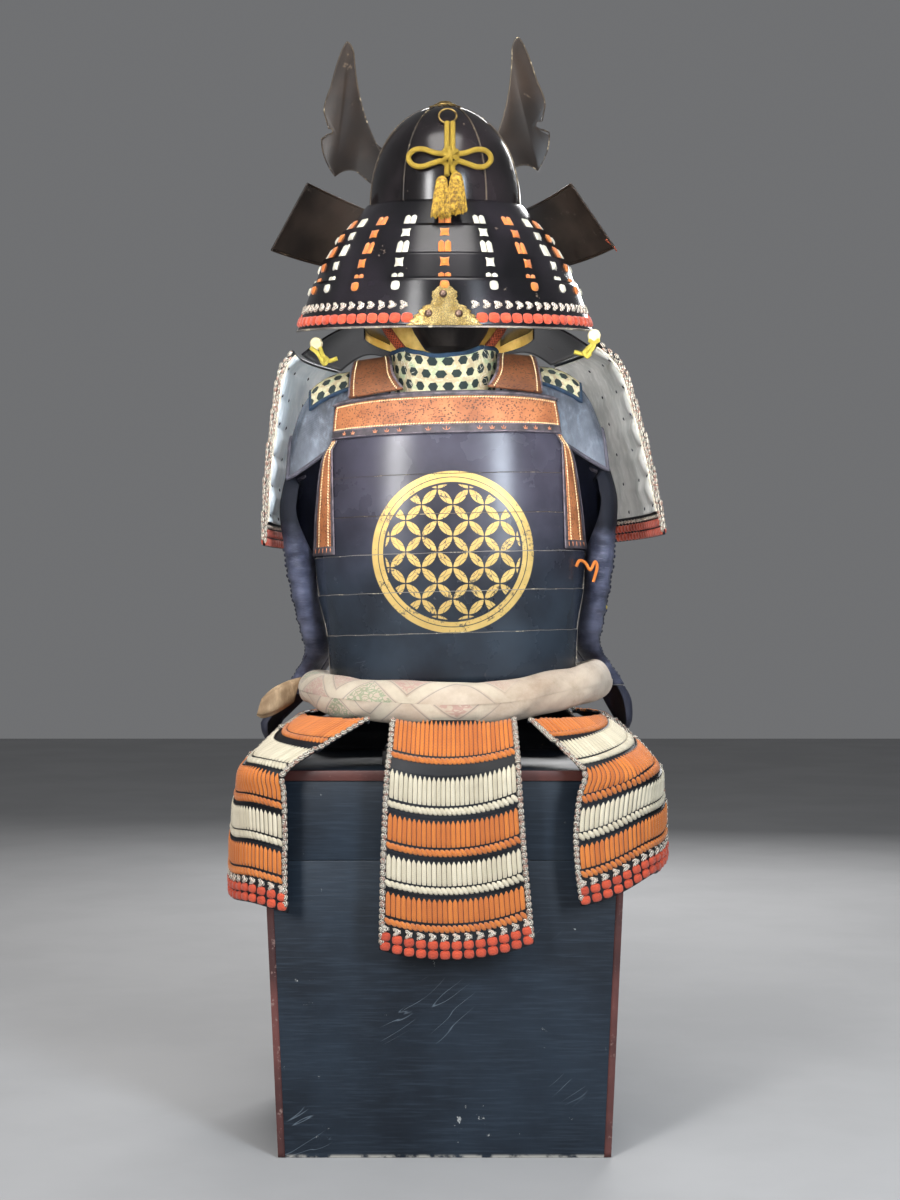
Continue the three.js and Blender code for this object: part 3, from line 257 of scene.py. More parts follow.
def neck_sheet(lame):
    """A lame of the neck guard: degrees from the middle of the back, and fall from 0 at its top edge."""
    _, data = NECK
    top, foot = data[lame - 1], data[lame]

    def sheet(angle, fall):
        z, half, back, front = (top[k] + (foot[k] - top[k]) * np.asarray(fall) for k in (1, 2, 3, 4))
        return in_helmet(ring_point(half, back, front, 2, np.radians(angle), z))

    return sheet


def lapped_lame(lame, more=0):
    """The outer face of a lame: its top edge stands outside the lame above."""
    start = 0 if lame == 1 else -0.12
    reach = NECK_REACH[lame - 1]
    stand = NECK_LAP * (0.3 if lame == 1 else 1)
    sheet = neck_sheet(lame)

    def place(angle, fall):
        end = np.clip((np.abs(angle) - reach + 18) / 18, 0, 1) ** 2 * (0.5 if lame == 4 else 0)
        return sheet(angle, start + (1 - end - start) * fall)

    return offset(place, lambda u, v: stand * (1 - v) + more, HELMET_MIDDLE)


def on_back(x, z, off):
    """A place a distance off the bowl's back or the neck guard below it: x across, z over the rim."""
    x, z, off = (np.asarray(value, float) for value in (x, z, off))
    fall = np.clip((4 - z) / 42, 0, 1)
    low = points(x, -(124.5 + 34.5 * fall + 2) - off * 0.8, z + off * 0.6)
    rise = np.clip(z / BOWL.height, 0, 1)
    back = BOWL.length * np.sqrt(1 - rise**2.2) + off
    side = np.sqrt(np.maximum(0, 1 - (x / (BOWL.half + 6)) ** 2))
    return in_helmet(np.where((z < 4)[..., None], low, points(x, -back * side, z + off * 0.3 * rise)))


def body_point(x, z, is_back):
    row = row_at(CUIRASS, z)
    share = np.clip(np.abs(x) / row.half, 0, 1)
    depth = -row.back if is_back else row.front
    return points(x, depth * (1 - share**CUIRASS_POWER) ** (1 / CUIRASS_POWER), z)


def plate_sheet(is_back):
    """A plate's smooth face: across from -1 to 1 between its edges, and a height over its rim."""
    top = BACK_TOP if is_back else FRONT_TOP

    def sheet(across, z):
        row = row_at(CUIRASS, z)
        edge = np.minimum(row.edge, row.half * 0.99987)
        reach = np.arcsin((edge / row.half) ** (CUIRASS_POWER / 2))
        drop = np.where(np.asarray(z) > 340, NECK_DROP * across**2 * ((z - 340) / (top - 340)), 0)
        angle = across * reach if is_back else np.pi - across * reach
        return in_body(ring_point(row.half, row.back, row.front, CUIRASS_POWER, angle, z - drop))

    return sheet


PLATE_STEP, LAST_PLATE = 1.6, 60


def lame_step(z):
    """How proud the riveted plates are at a height: each is lapped by the one above it."""
    joints = np.array(LAME_JOINTS, float)
    i = np.clip(np.searchsorted(joints, np.asarray(z) + 1e-6, side="right") - 1, 0, len(joints) - 1)
    ends = np.append(joints[1:], joints[-1] + LAST_PLATE)
    return PLATE_STEP * np.clip((z - joints[i]) / (ends[i] - joints[i]), 0, 1)


def strap_sheet(sign):
    def sheet(along, across):
        row = row_at(STRAP, along)
        x = row.inner + (row.outer - row.inner) * across
        curve = body_point(x, 380.0, True)[..., 1] - body_point(100.0, 380.0, True)[1]
        hug = -curve * np.clip(row.y / 100, -1, 1)
        return in_body(points(sign * x, row.y + hug,
                              row.z - 0.1 * (x - row.inner) - 0.00095 * (row.outer - 100) ** 2))

    return sheet


def vest_sheet(sign):
    """The shoulder cap: along from 0 at the neck, round from -1 at the back edge to 1 at the front."""

    def sheet(along, around):
        row = row_at(VEST, np.clip(along, 0, 1) * 6)
        angle = np.radians(np.asarray(around) * 88)
        share = np.cos(angle)
        front = np.where(np.asarray(around) > 0, 0.92, 1)
        return in_body(points(
            sign * (row.edge_x + (row.x - row.edge_x) * share),
            -row.edge_y * np.sin(angle) * front,
            row.edge_z + (row.z - row.edge_z) * share,
        ))

    return sheet


def sleeve_point(row, spin, sign, spread=0):
    a, turn = np.radians(spin), np.radians(row.turn)
    out = row.out * power(np.cos(a), 0.8)
    along = row.along * power(np.sin(a), 0.8)
    rise = row.rise * np.maximum(0, np.cos(a)) ** 2
    x = row.x + out * np.cos(turn) - along * np.sin(turn) + spread
    return in_body(points(sign * x, row.y + out * np.sin(turn) + along * np.cos(turn), row.level + rise))


def guard_sheet(name, sign):
    """A shoulder guard's face: across from 0 at its back edge to 1, and a length down from its top."""

    def sheet(across, down):
        bow = np.sin(np.pi * np.clip(across, -0.05, 1.05)) * GUARD.bulge
        narrow = 0.9 + 0.1 * np.minimum(1, np.asarray(down) / GUARD_LAMES[-1] * 2)
        ahead = (across - 0.5) * GUARD.width * narrow + GUARD.width / 2
        out = getattr(row_at(GUARD_FALL, down), name)
        x = out + bow - ahead * np.sin(GUARD.yaw)
        return in_body(points(sign * x, GUARD.back + ahead * np.cos(GUARD.yaw), GUARD.top - down))

    return sheet


def sash_point(turn, spin, swell=0):
    turn = np.where(np.asarray(turn) > 180, np.asarray(turn) - 360.0, turn)
    row = row_at(SASH, turn)

    def at(degrees):
        half, back, front = (size + row.out for size in (SASH_PATH.half, SASH_PATH.back, SASH_PATH.front))
        return ring_point(half, back, front, SASH_POWER, np.radians(degrees), row.z)

    ahead = at(turn + 0.5) - at(turn - 0.5)
    away = points(-ahead[..., 1], ahead[..., 0], 0)
    away /= np.linalg.norm(away, axis=-1, keepdims=True)
    away = np.where(np.sum(away * at(turn), -1, keepdims=True) < 0, -away, away)
    a = np.radians(spin)
    middle = at(turn) + away * ((row.thick + swell) * np.cos(a))[..., None]
    return in_body(middle + points(0, 0, (row.high + swell) * np.sin(a)))


def skirt_rings():
    """Level rings down the skirt's fall line, each with the length round it to every point."""
    rings = []
    for z in np.arange(590, 240, -4.0):
        row = row_at(SKIRT, z)
        ring = ring_point(row.half, row.back, row.front, row.power, np.linspace(0, 2 * np.pi, 181), z, row.x)
        rings.append((np.append(0, np.cumsum(np.linalg.norm(np.diff(ring, axis=0), axis=1))), ring))
    return rings


SKIRT_RINGS = skirt_rings()


def tasset_sheet(number):
    """A tasset's face: across from -1 to 1, and a length down from under the sash."""
    turn = (number - TASSETS if number > TASSETS / 2 else number) / TASSETS
    moved, lean, bow, longer, rise = TASSET_HANG[number]
    acrosses, lengths = np.linspace(-1.1, 1.1, 45), np.arange(0, 345, 3.0)
    grid = []
    for across in acrosses:
        line, far = [], [0.0]
        for around, ring in SKIRT_RINGS:
            fall = np.clip(far[-1] / TASSET_LAMES[-1], 0, 1)
            half = TASSET.top + (TASSET.foot - TASSET.top) * fall
            aside = moved + lean * fall + bow * np.sin(np.pi * fall)
            wanted = (turn * around[-1] + aside + across * half) % around[-1]
            line.append([np.interp(wanted, around, ring[:, k]) for k in range(3)])
            if len(line) > 1:
                far.append(far[-1] + np.linalg.norm(np.subtract(line[-1], line[-2])))
        line = np.array(line)
        grid.append(np.stack([np.interp(lengths, far, line[:, k]) for k in range(3)], -1))
    grid = np.array(grid)

    def sheet(across, down):
        across, down = np.broadcast_arrays(np.asarray(across, float), np.asarray(down, float))
        pulled = (longer - rise * across) * np.minimum(1, down / 85)
        length = TASSET.start + np.maximum(0, down - TASSET.arch * across**2 + pulled)
        i = np.clip((across + 1.1) / 2.2 * 44, 0, 43.999)
        j = np.clip(length / 3, 0, len(lengths) - 1.001)
        p, q = i.astype(int), j.astype(int)
        s, t = (i - p)[..., None], (j - q)[..., None]
        near = grid[p, q] * (1 - t) + grid[p, q + 1] * t
        return near * (1 - s) + (grid[p + 1, q] * (1 - t) + grid[p + 1, q + 1] * t) * s

    return sheet


def lap_at(lames, proud, length):
    """Laced lames lap over each other going down, each standing out at its top."""
    edges = np.array(lames, float)
    i = np.clip(np.searchsorted(edges, np.asarray(length) + 1e-6, side="right") - 1, 0, len(edges) - 2)
    return proud * (1 - np.clip((length - edges[i]) / (edges[i + 1] - edges[i]), 0, 1))


def creased(sheet, folds, middle, step=(1e-3, 1e-3)):
    """A sheet with folds placed by hand. Each has its place in u and v, its slope, how narrow it is in u,
    its reach in v, and its height."""

    def lift(u, v):
        total = 0
        for u0, v0, slope, narrow, reach, high in folds:
            across = (u - u0 - slope * (v - v0)) / narrow
            total = total + high * np.exp(-(across**2) - ((v - v0) / reach) ** 2)
        return total

    return offset(sheet, lift, middle, step)


def route(stops, count):
    """A smooth line through points, with its corners rounded."""
    stops = np.array(stops, float)
    ends = np.vstack([2 * stops[0] - stops[1], stops, 2 * stops[-1] - stops[-2]])
    place = np.linspace(0, len(stops) - 1.000001, count)
    i = place.astype(int)
    t = (place - i)[:, None]
    a, b, c, d = (ends[i + k] for k in range(4))
    return 0.5 * (2 * b + (c - a) * t + (2 * a - 5 * b + 4 * c - d) * t**2 + (3 * b - a - 3 * c + d) * t**3)


def body_route(stops, count):
    return route([in_body(np.array(stop, float)) for stop in stops], count)


def hem_of(sheet, us, vs):
    """The line round a sheet's first row, its last column and its last row."""
    first, last = us * 0 + vs[0], us * 0 + vs[-1]
    return np.concatenate([sheet(us, first), sheet(vs * 0 + us[-1], vs)[1:], sheet(us[::-1], last)[1:]])


def lame_rows(edges, gap, count):
    """Rows of points over lames, with a short gap before each joint."""
    return np.concatenate([np.linspace(low, high - (gap if high < edges[-1] else 0), count)
                           for low, high in zip(edges, edges[1:])])


def length_of(line):
    return float(np.sum(np.linalg.norm(np.diff(line, axis=0), axis=1)))


# ------------------------------------------------------------------ meshes


def grid_of(bm, columns, rows):
    """A flat grid in a new mesh, with the column and row that each of its vertices belongs to."""
    layer = bm.loops.layers.uv.new("UVMap")
    bmesh.ops.create_grid(bm, x_segments=columns - 1, y_segments=rows - 1, size=1, calc_uvs=True)
    bm.verts.index_update()
    flat = np.array([vertex.co for vertex in bm.verts])
    if len(flat) != columns * rows:
        raise RuntimeError("the grid doesn't have the rows and columns that were asked for")
    return layer, (flat[:, 0] + 1) / 2 * (columns - 1), (flat[:, 1] + 1) / 2 * (rows - 1)


def mesh_from(bm, name, smooth):
    made = bpy.data.meshes.new(name)
    bm.to_mesh(made)
    bm.free()
    made.shade_smooth()
    made.set_sharp_from_angle(angle=np.radians(smooth))
    return made


def object_from(name, made, finishes, slot=None, nodes=()):
    """Makes a mesh a piece that rides on the armour, takes a finish and stands for CAD nodes."""
    piece = bpy.data.objects.new(name, made)
    bpy.context.scene.collection.objects.link(piece)
    for finish in finishes:
        made.materials.append(material(finish))
    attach(piece, "root")
    if nodes:
        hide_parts(*nodes)
    return piece


def shell(name, sheet, us, vs, middle, finishes, slot=None, nodes=(), wall=0.0, seam=False, cap=False,
          smooth=50):
    """A grid moved onto a surface of u and v, with its lengths kept as its UVs, and a wall added inwards."""
    us, vs = np.array(us, float), np.array(vs, float)
    bm = bmesh.new()
    layer, s, t = grid_of(bm, len(us), len(vs))
    place = sheet(np.interp(s, range(len(us)), us), np.interp(t, range(len(vs)), vs))
    wide = length_of(sheet(us, np.full(len(us), vs[len(vs) // 2]))) * MM
    long = length_of(sheet(np.full(len(vs), us[len(us) // 2]), vs)) * MM
    for vertex, p in zip(bm.verts, place * MM):
        vertex.co = p
    for face in bm.faces:
        for loop in face.loops:
            i = loop.vert.index
            loop[layer].uv = (s[i] / (len(us) - 1) * wide, t[i] / (len(vs) - 1) * long)
    if seam:
        bmesh.ops.remove_doubles(bm, verts=bm.verts, dist=1e-6)
    if cap:
        bmesh.ops.holes_fill(bm, edges=[edge for edge in bm.edges if edge.is_boundary])
    bmesh.ops.recalc_face_normals(bm, faces=bm.faces)
    centres = np.array([face.calc_center_median() for face in bm.faces]) / MM
    outs = np.array([face.normal for face in bm.faces]) * np.array([[face.calc_area()] for face in bm.faces])
    if not cap and np.sum(outs * (centres - middle(centres))) < 0:
        bmesh.ops.reverse_faces(bm, faces=bm.faces)
    piece = object_from(name, mesh_from(bm, name, smooth), finishes, slot, nodes)
    if wall:
        thick = piece.modifiers.new("wall", "SOLIDIFY")
        thick.thickness, thick.offset, thick.use_even_offset = wall * MM, -1, True
        thick.material_offset = len(finishes) - 1
    return piece


def tube(name, line, radius, finish, slot=None, nodes=(), sides=10, cap=True):
    """A round tube along a line of points. radius may be one number or one for each point."""
    line = np.array(line, float)
    ahead = np.gradient(line, axis=0)
    ahead /= np.linalg.norm(ahead, axis=1, keepdims=True)
    side = np.cross(ahead[0], (0.31, 0.17, 0.93))
    sides_of = []
    for direction in ahead:
        side = side - direction * np.dot(side, direction)
        side /= np.linalg.norm(side)
        sides_of.append(side)
    first = np.array(sides_of)
    second = np.cross(ahead, first)
    radii = np.broadcast_to(radius, len(line)).astype(float)

    def sheet(u, v):
        at, one, two = (np.stack([np.interp(u, range(len(line)), a[:, k]) for k in range(3)], -1)
                        for a in (line, first, second))
        r = np.interp(u, range(len(line)), radii)[..., None]
        return at + one * np.cos(v)[..., None] * r + two * np.sin(v)[..., None] * r

    return shell(name, sheet, range(len(line)), np.linspace(0, 2 * np.pi, sides + 1), axis(0, 0, 0), [finish],
                 slot, nodes, seam=True, cap=cap)


def turned(name, profile, into, finish, slot=None, nodes=(), sides=32, squash=1.0, smooth=40):
    """A turning: radii and heights of its profile, spun round and moved into place."""
    profile = np.array(profile, float)

    def sheet(u, v):
        r = np.interp(u, range(len(profile)), profile[:, 0])
        z = np.interp(u, range(len(profile)), profile[:, 1])
        return into(points(r * np.cos(v), squash * r * np.sin(v), z))

    return shell(name, sheet, range(len(profile)), np.linspace(0, 2 * np.pi, sides + 1), axis(0, 0, 0),
                 [finish], slot, nodes, seam=True, cap=True, smooth=smooth)


def node_copy(node, finish, slot, bevel):
    """A hard CAD part with its loose triangles joined and its edges rounded."""
    bm = bmesh.new()
    bm.from_mesh(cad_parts[node].data)
    bmesh.ops.remove_doubles(bm, verts=bm.verts, dist=1e-6)
    bmesh.ops.dissolve_limit(bm, angle_limit=np.radians(1), verts=bm.verts, edges=bm.edges)
    bmesh.ops.recalc_face_normals(bm, faces=bm.faces)
    sharp = [edge for edge in bm.edges if edge.calc_face_angle(0) > np.radians(25)]
    bmesh.ops.bevel(bm, geom=sharp, offset=bevel * MM, segments=3, profile=0.5, affect="EDGES", material=-1)
    return object_from(node + "_made", mesh_from(bm, node + "_made", 35), [finish], slot, [node])


def small_shape(kind):
    """The shapes that repeat, a few dozen faces each: x across, y down, z out of the face they lie on."""
    bm = bmesh.new()
    if kind == "bead":
        bm.loops.layers.uv.new("UVMap")
        bmesh.ops.create_uvsphere(bm, u_segments=8, v_segments=6, radius=1, calc_uvs=True)
    elif kind == "plait":
        _, s, t = grid_of(bm, 5, 8)
        s, t = s / 2 - 1, t / 7
        wide = np.minimum(1, ((t + 0.01) / 0.17) ** 0.55) * (1 - 0.1 * np.maximum(0, t - 0.85) / 0.15)
        high = np.sqrt(1 - 0.98 * s**2) * np.minimum(1, 0.25 + t * 5) * np.minimum(1, 0.3 + (1 - t) * 6)
        for vertex, p in zip(bm.verts, points(s * wide / 2, t, high - 0.1)):
            vertex.co = p
    else:
        pinch = 0.2 if kind == "cross" else 0.0
        _, s, t = grid_of(bm, 7, 7)
        s, t = s / 3 - 1, t / 3 - 1
        x = s * np.sqrt(1 - 0.36 * t**2) * (1 - pinch + pinch * t**2 * 2)
        y = t * np.sqrt(1 - 0.36 * s**2) * (1 - pinch + pinch * s**2 * 2)
        high = (1 - s**4) ** 0.45 * (1 - t**4) ** 0.45
        for vertex, p in zip(bm.verts, points(x / 2, y / 2, high)):
            vertex.co = p
    bmesh.ops.recalc_face_normals(bm, faces=bm.faces)
    if sum(face.normal.z for face in bm.faces if face.calc_center_median().z > 0) < 0:
        bmesh.ops.reverse_faces(bm, faces=bm.faces)
    made = bpy.data.meshes.new(kind)
    bm.to_mesh(made)
    bm.free()
    return made


def on_surface(kind, sheet, us, vs, middle, size, off=0.0, turn=0.0, slide=(0, 0), step=(1e-3, 1e-3)):
    """Small shapes laid on a surface: x across it, y down it and z out of it."""
    us, vs = (np.atleast_1d(a) for a in np.broadcast_arrays(np.asarray(us, float), np.asarray(vs, float)))
    at, down, out = normals(sheet, us, vs, middle, step)
    down = down - out * np.sum(down * out, -1, keepdims=True)
    slope = np.linalg.norm(down, axis=-1, keepdims=True)
    down /= slope + 1e-12
    across = np.cross(down, out)
    turn, off = np.broadcast_to(turn, us.shape)[:, None], np.broadcast_to(off, us.shape)[:, None]
    x, y = across * np.cos(turn) + down * np.sin(turn), down * np.cos(turn) - across * np.sin(turn)
    sizes = [np.broadcast_to(s, us.shape)[:, None] for s in size]
    frames = np.zeros((len(us), 4, 4))
    for k, (direction, s) in enumerate(zip((x, y, out), sizes)):
        frames[:, :3, k] = direction * s * MM
    frames[:, :3, 3] = (at + out * off + across * slide[0] + down * slide[1]) * MM
    frames[:, 3, 3] = 1
    # Where a sheet is cut short its surface has no slope, and nothing is laid there.
    return kind, frames[slope[:, 0] > 1e-9]


def wrapped(kind, sheet, us, vs, size, middle, step=(1e-3, 1e-3)):
    """Small shapes bent to the surface they lie on. size is in its own u and v, and in millimetres out."""
    shape = small_shape(kind)
    co = np.array([vertex.co for vertex in shape.vertices])
    bpy.data.meshes.remove(shape)
    us, vs = (np.atleast_1d(a)[:, None] for a in np.broadcast_arrays(np.asarray(us, float),
                                                                     np.asarray(vs, float)))
    at, _, out = normals(sheet, us + co[:, 0] * size[0], vs + co[:, 1] * size[1], middle, step)
    return kind, (at + out * (co[:, 2] * size[2])[..., None]) * MM


def spread(name, parts, finish, slot=None, seed=1, nodes=()):
    """One mesh of many copies of small shapes. Each copy has its own pick from 0 to 1 for its shade."""
    picks = np.random.default_rng(seed)
    places, faces, uvs, shades = [], [], [], []
    start = 0
    for kind, frames in parts:
        shape = small_shape(kind)
        co = np.array([(*vertex.co, 1) for vertex in shape.vertices])
        loops = [tuple(face.vertices) for face in shape.polygons]
        uv = np.array([loop.uv for loop in shape.uv_layers[0].data])
        for one in frames:
            places.append((co @ one.T)[:, :3] if one.shape == (4, 4) else one)
            faces.extend([tuple(i + start for i in face) for face in loops])
            start += len(co)
        uvs.append(np.tile(uv, (len(frames), 1)))
        shades.append(np.repeat(picks.random(len(frames)), len(loops)))
        bpy.data.meshes.remove(shape)
    made = bpy.data.meshes.new(name)
    made.from_pydata(np.concatenate(places), [], faces)
    made.uv_layers.new(name="UVMap").data.foreach_set("uv", np.concatenate(uvs).ravel())
    made.attributes.new("pick", "FLOAT", "FACE").data.foreach_set("value", np.concatenate(shades))
    made.shade_smooth()
    return object_from(name, made, [finish], slot, nodes)


# ------------------------------------------------------------------ finishes


class Tree:
    """Adds nodes to a tree. An input that is given a socket is linked, and any other value is set on it."""

    def __init__(self, tree):
        self.tree = tree
        self.coordinates = None

    def add(self, kind, out=0, props=None, **inputs):
        node = self.tree.nodes.new("ShaderNode" + kind)
        for key, value in (props or {}).items():
            setattr(node, key, value)
        for key, value in inputs.items():
            socket = node.inputs[int(key[1:])] if key[1:].isdigit() else node.inputs[key.replace("_", " ")]
            if isinstance(value, bpy.types.NodeSocket):
                self.tree.links.new(value, socket)
            else:
                socket.default_value = value
        return node.outputs[out]

    def math(self, operation, a, b=0.5):
        return self.add("Math", props={"operation": operation}, i0=a, i1=b)

    def times(self, a, b):
        return self.math("MULTIPLY", a, b)

    def plus(self, a, b):
        return self.math("ADD", a, b)

    def less(self, a, b):
        return self.math("SUBTRACT", a, b)

    def larger(self, a, b):
        return self.math("MAXIMUM", a, b)

    def from_middle(self, value):
        """How far a value's fraction lies from a half."""
        return self.math("ABSOLUTE", self.less(self.math("FRACT", value), 0.5))

    def distance(self, a, b):
        return self.math("SQRT", self.plus(self.times(a, a), self.times(b, b)))

    def line_at(self, value, middle, inner, outer):
        """A thin line where a value is near a middle."""
        return self.over(self.math("ABSOLUTE", self.less(value, middle)), inner, outer, 1.0, 0.0)

    def pick(self):
        """The shade from 0 to 1 that each small shape has of its own."""
        return self.add("Attribute", 2, {"attribute_name": "pick"})

    def at(self, name="Object"):
        self.coordinates = self.coordinates or self.add("TexCoord").node
        return self.coordinates.outputs[name]

    def moved(self, vector, scale):
        return self.add("Mapping", Vector=vector, Scale=scale)

    def parts_of(self, vector):
        return self.add("SeparateXYZ", Vector=vector).node.outputs

    def noise(self, vector, scale, detail=3.0, roughness=0.55):
        return self.add("TexNoise", Vector=vector, Scale=scale, Detail=detail, Roughness=roughness)

    def over(self, value, low, high, to_low=0.0, to_high=1.0):
        """A value spread from one range to another, smoothly and without going past its ends."""
        return self.add("MapRange", props={"interpolation_type": "SMOOTHSTEP"}, Value=value, From_Min=low,
                        From_Max=high, To_Min=to_low, To_Max=to_high)

    def mix(self, share, a, b):
        a, b = ((*side, 1) if isinstance(side, tuple) else side for side in (a, b))
        return self.add("Mix", 2, {"data_type": "RGBA"}, i0=share, i6=a, i7=b)

    def share(self, part, a, b):
        return self.add("Mix", 0, {"data_type": "FLOAT"}, i0=part, i2=a, i3=b)


def effect(name, inputs, outputs, build):
    """A shared effect as a group of nodes that gives out only masks and heights."""
    if name in bpy.data.node_groups:
        return bpy.data.node_groups[name]
    group = bpy.data.node_groups.new(name, "ShaderNodeTree")
    for label, kind in inputs:
        group.interface.new_socket(label, in_out="INPUT", socket_type=kind)
    for label in outputs:
        group.interface.new_socket(label, in_out="OUTPUT", socket_type="NodeSocketFloat")
    given = group.nodes.new("NodeGroupInput")
    results = build(Tree(group), *given.outputs[: len(inputs)])
    end = group.nodes.new("NodeGroupOutput")
    for k, socket in enumerate(results):
        group.links.new(socket, end.inputs[k])
    return group


VECTOR, FLOAT = "NodeSocketVector", "NodeSocketFloat"


def build_plait(t, vector, pitch):
    """The slanting strands of a flat plait along y, and the thin gaps between them."""
    x, y, _ = t.parts_of(vector)
    fold = t.math("ABSOLUTE", t.less(x, 0.5))
    wave = t.math("SINE", t.times(t.plus(y, t.times(fold, 0.35)), pitch))
    fine = t.noise(t.moved(vector, (90, 14, 1)), 1.0, 2.0)
    high = t.plus(t.times(wave, 0.4), t.times(fine, 0.5))
    return high, t.over(wave, -1.0, -0.3, 1.0, 0.0)


def build_weave(t, vector, pitch):
    """Crossing threads: the height of a plain weave."""
    x, y, _ = t.parts_of(vector)
    warp = t.math("SINE", t.times(x, pitch))
    weft = t.math("SINE", t.times(y, pitch))
    return (t.plus(t.times(t.times(warp, weft), 0.5), 0.5),)


def build_wear(t, vector, scale, amount):
    """Small worn places: spots where two sizes of noise meet."""
    near = t.noise(vector, scale, 5.0, 0.7)
    far = t.noise(vector, t.times(scale, 0.17), 2.0)
    both = t.plus(t.times(near, 0.6), t.times(far, 0.4))
    limit = t.less(0.71, t.times(amount, 0.3))
    return (t.add("MapRange", Value=both, From_Min=limit, From_Max=t.plus(limit, 0.03)),)


def build_scratch(t, vector, scale, amount):
    """Fine scratches: short pieces of thin lines that run in two directions."""
    found = None
    for turn, stretch in ((0.5, (1, 1, 7)), (-0.9, (6, 1, 1))):
        turned_to = t.add("Mapping", Vector=vector, Rotation=(0, turn, 0))
        level = t.noise(t.moved(turned_to, stretch), scale, 1.0, 0.4)
        line = t.line_at(level, 0.5, 0.0, 0.012)
        where = t.noise(turned_to, t.times(scale, 0.9), 2.0, 0.6)
        limit = t.less(0.72, t.times(amount, 0.16))
        kept = t.add("MapRange", Value=where, From_Min=limit, From_Max=t.plus(limit, 0.05))
        mask = t.times(line, kept)
        found = mask if found is None else t.larger(found, mask)
    return (found,)


EFFECTS = {
    "Plait": ([("Vector", VECTOR), ("Pitch", FLOAT)], ["Height", "Gap"], build_plait),
    "Weave": ([("Vector", VECTOR), ("Pitch", FLOAT)], ["Height"], build_weave),
    "Wear": ([("Vector", VECTOR), ("Scale", FLOAT), ("Amount", FLOAT)], ["Mask"], build_wear),
    "Scratches": ([("Vector", VECTOR), ("Scale", FLOAT), ("Amount", FLOAT)], ["Mask"], build_scratch),
}


def use(t, name, out=0, **inputs):
    return t.add("Group", out, {"node_tree": effect(name, *EFFECTS[name])}, **inputs)


def lacquer(base, sheen, wear=(0.18, 0.13, 0.09), amount=0.25, rough=(0.2, 0.42), spots=90.0):
    """Old lacquer: a dark coat with a cloudy sheen, rubbed spots and fine scratches."""

    def paint(t):
        place = t.at()
        cloud = t.over(t.noise(place, 9.0, 4.0), 0.35, 0.7)
        worn = use(t, "Wear", Vector=place, Scale=spots, Amount=amount)
        cut = use(t, "Scratches", Vector=place, Scale=30.0, Amount=amount)
        colour = t.mix(cloud, base, sheen)
        colour = t.mix(t.times(cut, 0.35), colour, wear)
        colour = t.mix(t.times(worn, 0.8), colour, wear)
        roughness = t.plus(t.share(t.noise(place, 14.0, 5.0), rough[0], rough[1]), t.times(worn, 0.3))
        height = t.less(t.times(t.noise(place, 60.0, 4.0), 0.3), t.times(worn, 0.5))
        return {"Base Color": colour, "Roughness": roughness, "Height": height}

    return paint


# In metres: the roundel's middle, the size of its rings, and its edges from the middle outwards.
ROUNDEL = SimpleNamespace(
    x=0.0112, z=0.818, reach=0.0215, inner_ring=0.62, inside=(0.0925, 0.0932),
    border=((0.0955, 0.0962), (0.1105, 0.1115)), groove=0.1025,
)
QUILT_PITCH, BROCADE_PITCH = 0.0172, 0.088


def cuirass_paint(t):
    """The riveted plates: violet above and blue-green below, with a gilt roundel of linked rings behind."""
    place = t.at()
    x, y, z = t.parts_of(place)
    # The upper plates are painted lighter and more violet: painted light on them.
    level = t.over(t.plus(z, t.times(t.noise(place, 6.0), 0.12)), 0.78, 1.0)
    cloud = t.over(t.noise(place, 8.0, 5.0), 0.35, 0.7)
    low = t.mix(cloud, (0.010, 0.013, 0.019), (0.024, 0.034, 0.048))
    high = t.mix(cloud, (0.026, 0.024, 0.034), (0.06, 0.056, 0.078))
    worn = use(t, "Wear", Vector=place, Scale=70.0, Amount=0.18)
    cut = use(t, "Scratches", Vector=place, Scale=22.0, Amount=0.3)
    plain = t.mix(t.times(cut, 0.3), t.mix(level, low, high), (0.2, 0.2, 0.24))
    plain = t.mix(t.times(worn, 0.5), plain, (0.1, 0.08, 0.07))

    across, up = t.less(x, ROUNDEL.x), t.less(z, ROUNDEL.z)
    far = t.distance(across, up)
    reach, lens, lines = ROUNDEL.reach, [], []
    # Whole repeats are added, so that what is folded is never below nothing.
    whole = 1.0 - 1.0 % (2 * reach)
    for shift in (0.0, reach):
        fold = [t.math("PINGPONG", t.plus(side, shift + whole), reach) for side in (across, up)]
        radius = t.distance(*fold)
        lens.append(t.over(radius, reach - 0.0012, reach - 0.0006, 1.0, 0.0))
        lines.append(t.line_at(radius, reach * ROUNDEL.inner_ring, 0.0002, 0.0006))
    petals = t.times(lens[0], lens[1])
    studs = t.larger(lines[0], lines[1])
    inside = t.over(far, *ROUNDEL.inside, 1.0, 0.0)
    border = t.times(t.over(far, *ROUNDEL.border[0]), t.over(far, *ROUNDEL.border[1], 1.0, 0.0))
    groove = t.line_at(far, ROUNDEL.groove, 0.0003, 0.0009)
    gold = t.larger(t.times(petals, inside), t.less(border, groove))
    gold = t.less(gold, t.times(t.times(studs, inside), 0.8))
    flecks = use(t, "Wear", Vector=place, Scale=260.0, Amount=0.5)
    behind = t.over(y, -0.12, -0.1, 1.0, 0.0)
    gold = t.times(t.less(gold, t.times(flecks, 0.8)), behind)
    gold = t.add("Clamp", Value=gold)
    leaf = t.mix(t.noise(place, 55.0, 5.0), (0.42, 0.27, 0.075), (0.78, 0.56, 0.2))
    colour = t.mix(gold, plain, leaf)
    roughness = t.share(gold, t.share(t.noise(place, 10.0, 5.0), 0.16, 0.36), 0.46)
    height = t.plus(t.times(t.noise(place, 40.0, 4.0), 0.35), t.times(gold, 0.15))
    return {"Base Color": colour, "Roughness": roughness, "Metallic": t.times(gold, 0.55), "Height": height}


